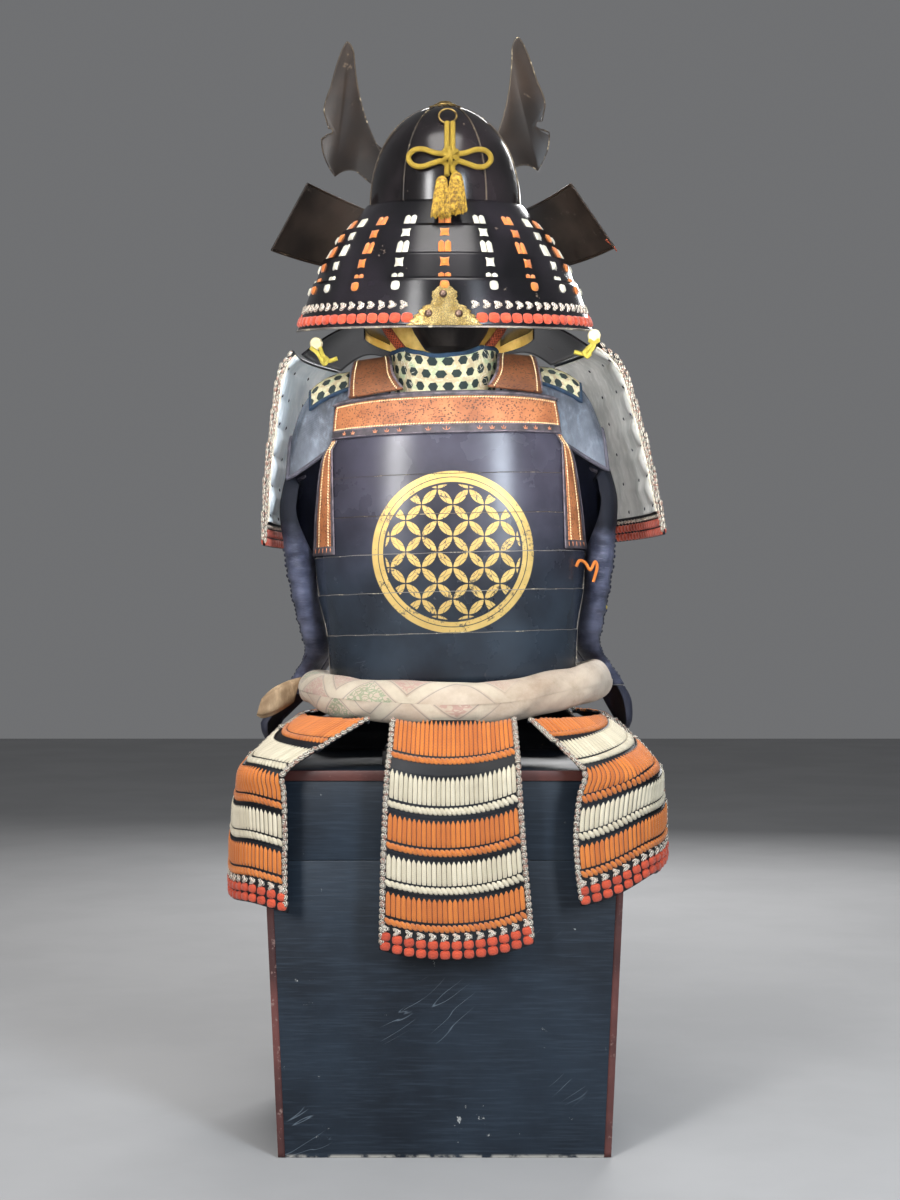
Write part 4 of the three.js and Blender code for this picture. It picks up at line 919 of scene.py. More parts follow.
def chest_paint(t):
    """Dark blue lacquered boards: brush marks, scratches, pale chips and a worn foot."""
    place = t.at()
    cloud = t.over(t.noise(place, 5.0, 5.0, 0.6), 0.3, 0.72)
    colour = t.mix(cloud, (0.0045, 0.0085, 0.015), (0.014, 0.024, 0.038))
    brush = t.noise(t.moved(place, (3, 3, 60)), 6.0, 3.0)
    colour = t.mix(t.over(brush, 0.45, 0.75, 0.0, 0.35), colour, (0.035, 0.052, 0.075))
    cut = use(t, "Scratches", Vector=place, Scale=9.0, Amount=0.42)
    colour = t.mix(t.times(cut, 0.55), colour, (0.16, 0.2, 0.24))
    chips = use(t, "Wear", Vector=place, Scale=85.0, Amount=0.2)
    colour = t.mix(t.times(chips, 0.85), colour, (0.42, 0.43, 0.42))
    _, _, z = t.parts_of(place)
    foot = t.times(t.over(z, 0.001, 0.006, 1.0, 0.0), t.over(t.noise(place, 45.0, 4.0), 0.4, 0.55))
    colour = t.mix(foot, colour, (0.4, 0.38, 0.34))
    roughness = t.plus(t.share(t.noise(place, 12.0, 5.0), 0.34, 0.56), t.times(chips, 0.3))
    height = t.less(t.times(brush, 0.5), t.plus(t.times(chips, 0.8), t.times(cut, 0.3)))
    return {"Base Color": colour, "Roughness": roughness, "Height": height}


def chosen(name):
    """One of the user's colours, and the deeper shade that it takes in its folds."""
    light = tuple(getattr(bpy.context.scene.samurai_armour, name))
    return light, tuple(0.62 * c * (0.7 + 0.4 * c) for c in light)


def silk(name, gap=(0.03, 0.012, 0.004), pitch=75.0):
    """Plaited silk cord: slanting strands, a thread grain, and a shade for each cord."""

    def paint(t):
        light, deep = chosen(name)
        place = t.at("UV")
        high = use(t, "Plait", Vector=place, Pitch=pitch)
        seam = use(t, "Plait", 1, Vector=place, Pitch=pitch)
        pick = t.pick()
        shade = t.add("Clamp", Value=t.plus(t.times(pick, 0.55), t.times(t.noise(t.at(), 40.0), 0.6)))
        colour = t.mix(shade, deep, light)
        # Painted shade: the gaps between strands take a dark colour.
        colour = t.mix(t.times(seam, 0.45), colour, gap)
        return {"Base Color": colour, "Height": high}

    return paint


def flecked(colours):
    """Cord of mixed threads: strands of several colours twisted together."""

    def paint(t):
        place = t.at("UV")
        pick = t.pick()
        x, y, _ = t.parts_of(place)
        wave = t.math("SINE", t.plus(t.times(t.plus(y, t.times(x, 0.8)), 26.0), t.times(pick, 6.0)))
        second = t.over(wave, -0.1, 0.3)
        third = t.over(t.noise(t.at(), 260.0, 2.0), 0.5, 0.62)
        colour = t.mix(t.times(third, 0.75), t.mix(second, colours[0], colours[1]), colours[2])
        return {"Base Color": colour, "Height": wave}

    return paint


def round_cord(light, deep, pitch):
    """A braid of crossing strands round a cord, by its lengths along and around."""

    def paint(t):
        x, y, _ = t.parts_of(t.at("UV"))
        along, around = t.times(x, pitch), t.times(y, pitch * 1.1)
        one = t.math("SINE", t.plus(along, around))
        two = t.math("SINE", t.less(along, around))
        high = t.larger(one, two)
        # Painted shade: the strands are darker where they sink between the crossings.
        colour = t.mix(t.over(high, -0.2, 0.7), deep, light)
        colour = t.mix(t.over(t.noise(t.at(), 120.0), 0.5, 0.8, 0.0, 0.4), colour, deep)
        return {"Base Color": colour, "Height": high}

    return paint


def leather_paint(t, share=1.0):
    """Stencilled leather: orange-brown with rows, rings and sprays of tiny dark marks."""
    # A share below one makes a darker copy of the leather, which is painted shade.
    light, deep = (tuple(share * c for c in colour) for colour in chosen("leather"))
    place = t.at("UV")
    colour = t.mix(t.over(t.noise(t.at(), 22.0, 5.0), 0.3, 0.7), deep, light)
    near = t.add("TexVoronoi", 0, {"feature": "F1"}, Vector=place, Scale=370.0, Randomness=0.8)
    dots = t.over(near, 0.36, 0.46, 1.0, 0.0)
    x, y, _ = t.parts_of(place)
    cell = [t.math("PINGPONG", side, 0.019) for side in (x, t.plus(y, 0.006))]
    ring = t.distance(*cell)
    rings = t.math("SINE", t.times(ring, 1250.0))
    sprays = t.noise(place, 42.0, 2.0)
    where = t.add("Clamp", Value=t.plus(t.over(rings, -0.3, 0.1), t.over(sprays, 0.46, 0.54)))
    where = t.times(where, t.over(t.noise(place, 95.0, 3.0), 0.34, 0.46))
    marks = t.times(dots, where)
    colour = t.mix(t.times(marks, 0.85), colour, (0.028, 0.012, 0.008))
    height = t.less(t.times(t.noise(place, 400.0, 4.0), 0.6), t.times(marks, 0.4))
    return {"Base Color": colour, "Height": height}


def quilt_paint(t):
    """Quilted cloth: cream and pale green, with dark six-sided patches in offset rows."""
    place = t.at("UV")
    wander = t.add("TexNoise", 1, Vector=place, Scale=60.0)
    wander = t.add("VectorMath", props={"operation": "SCALE"}, i0=wander, Scale=0.0035)
    x, y, _ = t.parts_of(t.add("VectorMath", props={"operation": "ADD"}, i0=place, i1=wander))
    row = t.math("FLOOR", t.math("DIVIDE", y, QUILT_PITCH))
    shifted = t.plus(x, t.times(t.math("MODULO", row, 2.0), QUILT_PITCH * 0.55))
    across = t.from_middle(t.math("DIVIDE", shifted, QUILT_PITCH * 1.1))
    up = t.from_middle(t.math("DIVIDE", y, QUILT_PITCH))
    slanted = t.plus(t.times(across, 0.87), t.times(up, 0.5))
    patch = t.over(t.larger(up, slanted), 0.30, 0.35, 1.0, 0.0)
    base = t.mix(t.over(t.noise(place, 70.0, 4.0), 0.4, 0.62), (0.42, 0.33, 0.2), (0.56, 0.53, 0.33))
    base = t.mix(t.over(t.noise(place, 35.0, 2.0), 0.5, 0.66), base, (0.28, 0.36, 0.22))
    threads = use(t, "Weave", Vector=place, Pitch=5200.0)
    base = t.mix(t.over(t.noise(place, 260.0, 3.0), 0.5, 0.7, 0.0, 0.5), base, (0.7, 0.66, 0.5))
    dark = t.mix(t.noise(place, 90.0, 3.0), (0.006, 0.012, 0.014), (0.03, 0.045, 0.04))
    colour = t.mix(patch, base, dark)
    height = t.plus(t.times(threads, 0.4), t.times(t.noise(place, 60.0, 3.0), 1.4))
    return {"Base Color": colour, "Height": t.less(height, t.times(patch, 0.5))}


def brushed_cloth(deep, light, stretch=(1, 1, 0.4), mottle=14.0):
    """Worn cloth: streaks where it was brushed and rubbed, over a fine weave."""

    def paint(t):
        place = t.at()
        streaks = t.noise(t.moved(place, stretch), mottle, 6.0, 0.62)
        rubbed = t.noise(t.moved(place, stretch), mottle * 4, 5.0, 0.7)
        colour = t.mix(t.over(streaks, 0.3, 0.7), deep, light)
        colour = t.mix(t.over(rubbed, 0.5, 0.75, 0.0, 0.45), colour, tuple(min(1, c * 1.6) for c in light))
        height = t.plus(t.times(use(t, "Weave", Vector=t.at("UV"), Pitch=2600.0), 0.25), streaks)
        return {"Base Color": colour, "Height": height}

    return paint


def sleeve_paint(t):
    """A sleeve of worn satin: nearly black in its upper part, and muted blue and lilac below."""
    place = t.at()
    streaks = t.noise(t.moved(place, (1, 1, 2.6)), 13.0, 6.0, 0.62)
    threads = t.noise(t.moved(place, (1, 1, 5)), 70.0, 5.0, 0.7)
    colour = t.mix(t.over(streaks, 0.3, 0.7), (0.016, 0.019, 0.036), (0.115, 0.125, 0.19))
    colour = t.mix(t.over(threads, 0.5, 0.75, 0.0, 0.4), colour, (0.2, 0.2, 0.26))
    # Painted shade: the sleeve's upper part, in the armhole under the vest, is made nearly black.
    _, _, z = t.parts_of(place)
    high = t.over(t.plus(z, t.times(t.noise(place, 22.0, 4.0), 0.06)), 0.845, 0.895)
    colour = t.mix(high, colour, (0.004, 0.005, 0.010))
    height = t.plus(t.times(use(t, "Weave", Vector=t.at("UV"), Pitch=2600.0), 0.25), streaks)
    return {"Base Color": colour, "Roughness": t.share(high, 0.42, 0.75), "Height": height}


def brocade_paint(t):
    """Old brocade: cream with paler bands crossing it, and scrolls of green and pink in its lozenges."""
    x, y, _ = t.parts_of(t.at("UV"))
    one, two = t.plus(x, t.times(y, 0.85)), t.less(x, t.times(y, 0.85))
    cells, edges = [], []
    for side in (one, two):
        share = t.math("DIVIDE", side, BROCADE_PITCH)
        cells.append(t.math("FLOOR", share))
        edges.append(t.from_middle(share))
    edge = t.larger(edges[0], edges[1])
    band, line = t.over(edge, 0.40, 0.415), t.line_at(edge, 0.375, 0.006, 0.014)
    where = t.add("CombineXYZ", X=cells[0], Y=cells[1])
    luck = t.add("TexWhiteNoise", Vector=where)
    place = t.at("UV")
    scroll = t.add("TexVoronoi", 0, {"feature": "DISTANCE_TO_EDGE"}, Vector=place, Scale=150.0)
    curls = t.math("SINE", t.times(t.noise(place, 62.0, 1.0), 42.0))
    motif = t.times(t.larger(t.over(scroll, 0.05, 0.1, 1.0, 0.0), t.over(curls, 0.35, 0.7)),
                    t.over(edge, 0.33, 0.36, 1.0, 0.0))
    base = t.mix(t.over(t.noise(t.at(), 12.0, 5.0), 0.3, 0.7), (0.5, 0.385, 0.285), (0.66, 0.55, 0.43))
    green = t.mix(t.noise(place, 80.0), (0.16, 0.23, 0.12), (0.33, 0.4, 0.25))
    pink = t.mix(t.noise(place, 60.0), (0.42, 0.2, 0.16), (0.6, 0.4, 0.34))
    tint = t.mix(t.over(luck, 0.6, 0.62), green, pink)
    # One end of the cloth is rubbed nearly plain, and more stained.
    plain = t.over(t.plus(t.parts_of(t.at())[0], t.times(t.noise(t.at(), 9.0), 0.08)), 0.09, 0.15)
    left = t.less(1.0, t.times(plain, 0.9))
    shown = t.times(t.times(motif, t.over(luck, 0.34, 0.36, 0.0, 0.8)), left)
    colour = t.mix(shown, base, tint)
    colour = t.mix(t.times(t.times(band, 0.6), left), colour, (0.66, 0.58, 0.44))
    colour = t.mix(t.times(t.times(line, 0.6), left), colour, (0.2, 0.18, 0.17))
    soil = t.times(t.over(t.noise(t.at(), 26.0, 5.0, 0.7), 0.4, 0.8), t.share(plain, 0.4, 0.7))
    colour = t.mix(soil, colour, (0.3, 0.2, 0.12))
    height = t.plus(t.times(use(t, "Weave", Vector=place, Pitch=5600.0), 0.3),
                    t.times(t.noise(t.moved(place, (1, 0.35, 1)), 60.0, 4.0), 1.6))
    return {"Base Color": colour, "Height": height}


def engraved(light, deep, scale=420.0):
    """Gilt metal with engraved scrolls, rubbed and darker in its grooves."""

    def paint(t):
        place = t.at()
        curls = t.math("SINE", t.times(t.noise(place, scale * 0.3, 1.0), 55.0))
        lines = t.add("TexVoronoi", 0, {"feature": "DISTANCE_TO_EDGE"}, Vector=place, Scale=scale * 0.55)
        cut = t.larger(t.over(curls, 0.55, 0.9), t.over(lines, 0.03, 0.09, 1.0, 0.0))
        colour = t.mix(t.over(t.noise(place, 70.0, 4.0), 0.35, 0.7), deep, light)
        colour = t.mix(t.times(cut, 0.75), colour, tuple(c * 0.12 for c in deep))
        high = t.times(cut, -1.0)
        return {"Base Color": colour, "Roughness": t.share(cut, 0.3, 0.6), "Height": high,
                "Metallic": t.share(cut, 0.9, 0.2)}

    return paint


def mottled(deep, light, scale=60.0, grain=(1, 1, 1)):
    """A plain surface with a little grain and shade."""

    def paint(t):
        place = t.moved(t.at(), grain)
        colour = t.mix(t.over(t.noise(place, scale, 5.0, 0.6), 0.35, 0.65), deep, light)
        return {"Base Color": colour, "Height": t.noise(place, scale * 3, 4.0)}

    return paint


# Each finish: how it is painted, how deep its bumps are in millimetres, and what stays the same all over.
FINISHES = {
    "chest": (chest_paint, 0.5, {"Specular IOR Level": 0.35}),
    "strip": (lacquer((0.045, 0.012, 0.011), (0.13, 0.04, 0.034), (0.24, 0.15, 0.13), 0.42, (0.35, 0.6),
                      160.0), 0.4, {}),
    "moulding": (lacquer((0.06, 0.015, 0.012), (0.13, 0.04, 0.03), (0.26, 0.16, 0.13), 0.3, (0.3, 0.5)), 0.3,
                 {}),
    "stand": (mottled((0.008, 0.007, 0.007), (0.028, 0.024, 0.022), 30.0, grain=(1, 1, 0.1)), 0.4,
              {"Roughness": 0.6}),
    "black": (lacquer((0.004, 0.0038, 0.0045), (0.017, 0.014, 0.018), rough=(0.14, 0.3)), 0.2,
              {"Specular IOR Level": 0.42}),
    "skirt_plate": (lacquer((0.004, 0.0045, 0.006), (0.014, 0.016, 0.021), rough=(0.4, 0.6)), 0.3,
                    {"Specular IOR Level": 0.3}),
    "bowl": (lacquer((0.005, 0.0042, 0.0045), (0.021, 0.016, 0.018), rough=(0.12, 0.27)), 0.2,
             {"Specular IOR Level": 0.45}),
    # Rubbed lacquer for seams, rims and edges: rubbed wear, and a painted highlight along them.
    "rubbed": (lacquer((0.022, 0.015, 0.011), (0.11, 0.08, 0.05), (0.42, 0.34, 0.22), 0.5, (0.25, 0.45),
                       140.0), 0.25, {"Metallic": 0.2}),
    # Pale lacquer for lame edges and plate edges: rubbed wear, and a painted highlight along them.
    "worn_highlit_edge": (lacquer((0.05, 0.046, 0.045), (0.25, 0.22, 0.19), (0.5, 0.43, 0.31), 0.5, (0.25, 0.45),
                          120.0), 0.25, {}),
    "turnback": (lacquer((0.008, 0.006, 0.005), (0.03, 0.021, 0.016), (0.05, 0.038, 0.03), 0.35, (0.42, 0.66),
                         50.0), 0.9, {"Specular IOR Level": 0.16}),
    "horn": (lacquer((0.009, 0.006, 0.0045), (0.03, 0.019, 0.013), (0.1, 0.07, 0.045), 0.25, (0.26, 0.42)),
             0.2, {"Specular IOR Level": 0.22}),
    "cuirass": (cuirass_paint, 0.3, {}),
    "gilt_inside": (mottled((0.62, 0.36, 0.07), (1.0, 0.72, 0.24), 18.0), 0.3,
                    {"Roughness": 0.45, "Metallic": 0.2}),
    "gilt": (engraved((0.82, 0.62, 0.26), (0.45, 0.3, 0.09)), 0.5, {}),
    "old_gilt": (mottled((0.1, 0.06, 0.02), (0.4, 0.27, 0.09), 120.0), 0.4,
                 {"Roughness": 0.4, "Metallic": 0.85}),
    "rivet": (mottled((0.1, 0.06, 0.045), (0.3, 0.2, 0.15), 90.0), 0.2, {"Roughness": 0.35, "Metallic": 0.8}),
    "orange": (silk("orange_silk"), 0.5, {"Roughness": 0.62, "Sheen Weight": 0.25}),
    "cream": (silk("cream_silk", (0.2, 0.13, 0.05)), 0.5, {"Roughness": 0.66, "Sheen Weight": 0.2}),
    "white": (silk("white_silk", (0.2, 0.16, 0.1)), 0.4, {"Roughness": 0.66, "Sheen Weight": 0.2}),
    "coral": (silk("coral_silk", pitch=40.0), 0.6, {"Roughness": 0.66, "Sheen Weight": 0.25}),
    "flecked": (flecked(((0.7, 0.65, 0.54), (0.02, 0.012, 0.012), (0.3, 0.13, 0.09))), 0.4,
                {"Roughness": 0.7}),
    "knots": (flecked(((0.82, 0.76, 0.64), (0.05, 0.025, 0.025), (0.66, 0.5, 0.4))), 0.4, {"Roughness": 0.7}),
    "gold_cord": (lambda t: round_cord(chosen("gold_silk")[0], (0.13, 0.075, 0.006), 2200.0)(t), 0.7,
                  {"Roughness": 0.6}),
    "gold_thread": (mottled((0.12, 0.06, 0.006), (0.5, 0.31, 0.035), 190.0), 0.3, {"Roughness": 0.6}),
    "red_cord": (round_cord((0.34, 0.07, 0.03), (0.09, 0.014, 0.01), 1300.0), 1.0, {"Roughness": 0.75}),
    "orange_cord": (round_cord((0.85, 0.26, 0.04), (0.45, 0.1, 0.01), 3600.0), 0.4, {"Roughness": 0.65}),
    "yellow_cord": (round_cord((0.66, 0.54, 0.09), (0.3, 0.22, 0.02), 3600.0), 0.4, {"Roughness": 0.65}),
    "leather": (leather_paint, 0.3, {"Roughness": 0.58}),
    # A darker copy of the band's leather for the straps: painted shade.
    "shaded_strap_leather": (lambda t: leather_paint(t, 0.42), 0.3, {"Roughness": 0.6}),
    "grey_strip": (mottled((0.035, 0.03, 0.034), (0.085, 0.07, 0.08), 40.0), 0.3, {"Roughness": 0.6}),
    "piping": (mottled((0.06, 0.05, 0.06), (0.17, 0.14, 0.16), 80.0), 0.3, {"Roughness": 0.62}),
    "rope_stitch": (mottled((0.6, 0.42, 0.2), (0.88, 0.74, 0.46), 200.0), 0.2, {"Roughness": 0.7}),
    "orange_stitch": (mottled((0.4, 0.13, 0.05), (0.62, 0.25, 0.12), 200.0), 0.2, {"Roughness": 0.7}),
    "quilt": (quilt_paint, 0.9, {"Roughness": 0.85}),
    "navy_binding": (brushed_cloth((0.006, 0.016, 0.035), (0.02, 0.045, 0.085)), 0.5, {"Roughness": 0.8}),
    "vest": (brushed_cloth((0.022, 0.026, 0.036), (0.115, 0.133, 0.165), (1, 1, 0.45), mottle=20.0), 0.8,
             {"Roughness": 0.44}),
    "vest_edge": (brushed_cloth((0.02, 0.019, 0.026), (0.07, 0.065, 0.085)), 0.4, {"Roughness": 0.6}),
    # Nearly black cloth: painted shade on the insides of the collar, vest and sleeves, and on the sheet
    # across the armhole.
    "inner_shade_cloth": (brushed_cloth((0.0025, 0.003, 0.006), (0.010, 0.012, 0.024)), 0.4, {"Roughness": 0.8}),
    "satin": (sleeve_paint, 0.9, {"Specular IOR Level": 0.3}),
    "hand_cloth": (brushed_cloth((0.004, 0.005, 0.012), (0.02, 0.022, 0.04)), 0.6, {"Roughness": 0.7}),
    "pale_lining": (brushed_cloth((0.62, 0.7, 0.74), (0.84, 0.89, 0.91), mottle=24.0), 0.7,
                    {"Roughness": 0.85}),
    "grey_lining": (brushed_cloth((0.54, 0.55, 0.52), (0.84, 0.83, 0.79), mottle=24.0), 0.7,
                    {"Roughness": 0.85}),
    "cream_piping": (mottled((0.5, 0.44, 0.34), (0.76, 0.7, 0.58), 120.0), 0.3, {"Roughness": 0.8}),
    "brocade": (brocade_paint, 1.6, {"Roughness": 0.7, "Sheen Weight": 0.2}),
    "tan_cloth": (brushed_cloth((0.2, 0.12, 0.06), (0.46, 0.33, 0.2)), 0.6, {"Roughness": 0.8}),
    "ivory": (mottled((0.5, 0.42, 0.24), (0.8, 0.72, 0.5), 50.0), 0.2, {"Roughness": 0.45}),
    "floor": (mottled((0.36, 0.36, 0.365), (0.39, 0.39, 0.395), 2.0), 0.05, {"Roughness": 0.85}),
}


def material(name):
    made = bpy.data.materials.get(name + "_finish")
    if made:
        return made
    paint, depth, fixed = FINISHES[name]
    made = bpy.data.materials.new(name + "_finish")
    made.use_nodes = True
    tree = made.node_tree
    shader = tree.nodes["Principled BSDF"]
    for key, value in fixed.items():
        shader.inputs[key].default_value = value
    t = Tree(tree)
    for key, socket in paint(t).items():
        if key == "Height":
            bump = t.add("Bump", Height=socket, Distance=depth * MM, Strength=0.8)
            tree.links.new(bump, shader.inputs["Normal"])
        else:
            tree.links.new(socket, shader.inputs[key])
    return made


# ------------------------------------------------------------------ the chest and its stand


def build_chest(sizes):
    node_copy("chest_body", "chest", "chest", sizes.board_edge / MM)
    node_copy("chest_lid", "chest", "chest", sizes.board_edge / MM)
    node_copy("lid_moulding", "moulding", "moulding", 1.0)
    # Thin lacquered strips cover the four upright corners, and narrow ones the lid's.
    for part, low, high, foot, head, wide in (
        ("body", 1, 400, (448, 394), (483, 414), 9.5), ("lid", 404, 507, (483, 414), (485, 415), 3.5),
    ):
        for name, sign in SIDES:
            for end, ahead in (("back", -1), ("front", 1)):

                def sheet(u, v):
                    share = (v - low) / (high - low)
                    x, y = ((foot[k] + (head[k] - foot[k]) * share) / 2 + 0.5 for k in (0, 1))
                    return points(sign * (x - np.maximum(0, -u)), ahead * (y - np.maximum(0, u)), v)

                rows = np.linspace(low, high, 60)
                shell(f"chest_{part}_strip_{end}_{name}", sheet, (-wide, -wide / 2, 0, wide / 2, wide), rows,
                      axis(0, 0), ["strip"], "moulding", wall=0.8, smooth=30)


def build_stand(sizes):
    node_copy("stand_base", "stand", "stand", 2)
    node_copy("stand_post", "stand", "stand", 0.6)
    node_copy("stand_bar", "stand", "stand", 3)


# ------------------------------------------------------------------ the helmet


def at_helmet(x, y, z):
    return lambda p: in_helmet(p + np.array((x, y, z), float))


def build_bowl(sizes):
    top = (1 - (BOWL.hole / BOWL.half) ** 2) ** (1 / 2.2)
    rises = np.append(np.linspace(0, 0.9, 30), np.linspace(0.915, top, 9))
    shell("helmet_bowl_made", bowl, np.linspace(-180, 180, 129), rises, HELMET_MIDDLE, ["bowl", "stand"],
          "lacquer", ["helmet_bowl"], wall=2.5, seam=True)
    # The seams and the rim are tubes of rubbed lacquer: rubbed wear, and a painted highlight along the
    # ridges.
    for number, seam in enumerate(BOWL_SEAMS, 1):
        line = offset(bowl, 0.25, HELMET_MIDDLE)(np.full(44, float(seam)),
                                                 np.append(np.linspace(0.01, 0.9, 32),
                                                           np.linspace(0.91, 0.97, 12)))
        tube(f"bowl_seam_{number}", line, 1.15, "rubbed", "lacquer", sides=8)
    rim = offset(bowl, 0.4, HELMET_MIDDLE)(np.linspace(-112, 112, 90), np.full(90, 0.005))
    tube("bowl_rim", rim, 1.5, "rubbed", "lacquer", sides=8)
    ring = ((7.5, 0.8), (16, -0.6), (16.2, 0.2), (16, 1), (14, 1.6), (12, 3), (10, 3.4), (8.5, 5), (6.5, 5.5),
            (5.5, 4))
    turned("crown_fitting_made", ring, at_helmet(0, 0, BOWL.height + 1.5), "old_gilt", "gilt",
           ["crown_fitting"], sides=40)
    petals = offset(bowl, 1.0, HELMET_MIDDLE)
    spread("crown_petals", [on_surface("pad", petals, np.arange(16) * 22.5, np.full(16, 0.983), HELMET_MIDDLE,
                                       (6.5, 8, 1.2))],
           "old_gilt", "gilt")


def build_neck_guard(sizes):
    for lame in (1, 2, 3, 4):
        reach = NECK_REACH[lame - 1]
        inside = "black" if lame == 4 else "gilt_inside"
        face = lapped_lame(lame)
        shell(f"neck_lame_{lame}_made", face, np.linspace(-reach, reach, 101), np.linspace(0, 1, 13),
              HELMET_MIDDLE, ["black", inside], "lacquer", [f"neck_lame_{lame}"], wall=2.2)
        # A tube of pale lacquer along the lame's foot: rubbed wear, and a painted highlight on the edge.
        edge = lapped_lame(lame, 0.1)(np.linspace(-reach, reach, 121), np.ones(121))
        tube(f"neck_edge_{lame}", edge, 1.5 if lame == 4 else 0.85, "worn_highlit_edge" if lame == 4 else "rubbed",
             "lacquer", sides=8)

    # Lacing in columns: a pair of cords above each joint and a cross below it.
    columns = {"orange": (0, 39, -39, 72, -72), "white": (20, -20, 57, -57, 88, -88)}
    rows = ((1, 0.54, 20, None), (2, 0.52, 24, 0.27), (3, 0.67, 13, 0.32), (4, None, 0, 0.17))
    for colour, angles in columns.items():
        parts = []
        for lame, pair, long, cross in rows:
            face = lapped_lame(lame, 0.1)
            for side in (-4.5, 4.5):
                if pair:
                    parts.append(on_surface("plait", face, angles, pair, HELMET_MIDDLE, (8.4, long, 2.6),
                                            slide=(side, 0)))
            if cross:
                kind, size = ("cross", (13.5, 14, 3)) if lame < 4 else ("pad", (13, 13, 3.4))
                parts.append(on_surface(kind, face, angles, cross, HELMET_MIDDLE, size))
        spread(f"neck_lacing_{colour}", parts, colour, "orange_silk")
    lowest = lapped_lame(4, 0.1)
    rng = np.random.default_rng(4)
    knots = [a for a in np.arange(-93, 94, 4.55) if abs(a) > 11.5]
    red = [a for a in np.arange(-93, 94, 4.65) if abs(a) > 13]
    arrows = [on_surface("bead", lowest, knots, 0.56, HELMET_MIDDLE, (6.9, 3.3, 3.2), slide=(0, lift),
                         turn=lean + rng.normal(0, 0.14, len(knots)))
              for lift, lean in ((1.5, 0.6), (-1.5, -0.6))]
    spread("neck_knots", arrows, "knots", "pale_cloth", 5)
    spread("neck_red_lacing", [on_surface("pad", lowest, red, 0.82, HELMET_MIDDLE, (16.4, 14.5, 4.2),
                                          turn=rng.normal(0, 0.06, len(red)))],
           "coral", "red_silk", 6)

    lame = neck_sheet(4)

    def on_lame(u, v):
        return lame(u * row_at(FITTING, v).half * (1 + 0.05 * np.sin(v * 60)), 1 - v)

    plate = offset(on_lame, lambda u, v: NECK_LAP * v + 2.0, HELMET_MIDDLE)
    shell("back_fitting_made", plate, np.linspace(-1, 1, 25), np.linspace(0.02, 0.92, 70), HELMET_MIDDLE,
          ["gilt"], "gilt", ["back_fitting"], wall=1.4)
    spread("back_fitting_rivets", [on_surface("bead", lowest, (-0.6, -5.9, 5.2), (0.36, 0.75, 0.75),
                                              HELMET_MIDDLE, (5.8, 5.8, 3.6), off=2.2)],
           "rivet", "gilt")


def build_helmet_front(sizes):
    def brim(angle, out):
        wide = 46 * np.maximum(0, np.cos(np.radians(angle) * 1.5)) ** 0.8 + 2
        base = ring_point(BOWL.half + 2, BOWL.length + 2, BOWL.length + 2, 2, np.radians(180 - angle), -2)
        away = base * (1, 1, 0)
        away = away / np.linalg.norm(away, axis=-1, keepdims=True)
        return in_helmet(base + away * (wide * out)[..., None] + points(0, 0, -14 * out * out))

    shell("visor_made", brim, np.linspace(-58, 58, 49), np.linspace(0, 1, 9), axis(0, 0, 900), ["black"],
          "lacquer", ["visor"], wall=2.2)
    outer = {"left": ((201, 28, 42), (254, 26, -54)), "right": ((184, 30, 42), (248, 26, -50))}
    for name, sign in SIDES:
        corners = np.array((((110, 64, 4), (152, 92, -78)), ((152, 82, 22), (206, 104, -68)), outer[name]),
                           float)

        def wing(u, v):
            a, b, c = (row[0] + (row[1] - row[0]) * np.asarray(v)[..., None] for row in corners)
            u = np.asarray(u)[..., None]
            p = a * (1 - u) ** 2 + b * 2 * u * (1 - u) + c * u * u
            return in_helmet(p * (sign, 1, 1))

        rough = creased(wing, ((0.7, 0.3, 0.5, 0.12, 0.3, 0.8), (0.4, 0.7, -0.4, 0.1, 0.25, -0.7),
                               (0.9, 0.8, 0.2, 0.06, 0.2, 0.8)), axis(0, -260, 1250))
        us, vs = np.linspace(0, 1, 33), np.linspace(0, 1, 25)
        shell(f"turnback_{name}_made", rough, us, vs, axis(0, 600, 1250), ["turnback"], "lacquer",
              [f"turnback_{name}"], wall=2.2)
        tube(f"turnback_edge_{name}", hem_of(rough, us, us), 1.7, "horn", "lacquer", sides=8)
        if sign > 0:
            torn = [rough(np.array(u), np.array(v))
                    for u, v in ((0.97, 0.86), (0.99, 0.93), (1.0, 1.0), (1.0, 1.06))]
            tube("turnback_torn_hem", route(torn, 14), np.linspace(2.2, 0.9, 14), "red_cord", "red_silk")


HORN_THICK = 2.6
# The strokes round a horn, each a straight line or a curve by three points. The round notch has no stroke.
HORN_OUTLINE = (
    ((4, 24), (4, 62)), ((4, 62), (70, 84), (96, 150)), ((96, 150), (119, 205), (121, 277)),
    ((121, 277), (124, 292), (131, 295)), ((131, 295), (142, 284), (158, 226)),
    ((158, 226), (170, 200), (169, 188)), ((169, 188), (165, 168)), None, ((174, 148), (176, 120), (155, 90)),
    ((155, 90), (140, 104), (122, 97)), ((122, 97), (66, 46), (34, 26)),
)


def build_throat_guard(sizes):
    """A curved plate, gilt inside, that hangs before the throat behind the chin cords."""

    def sheet(angle, rise):
        turn = np.radians(angle)
        return points(6 + 125 * np.sin(turn), 4 + 98 * np.abs(np.cos(turn)) ** 0.6,
                      1120 + 84 * np.asarray(rise) + 16 * np.abs(np.sin(turn)) ** 3)

    shell("throat_guard", sheet, np.linspace(-86, 86, 61), np.linspace(0, 1, 9), axis(6, 0, 1160),
          ["black", "gilt_inside"], "lacquer", wall=2)


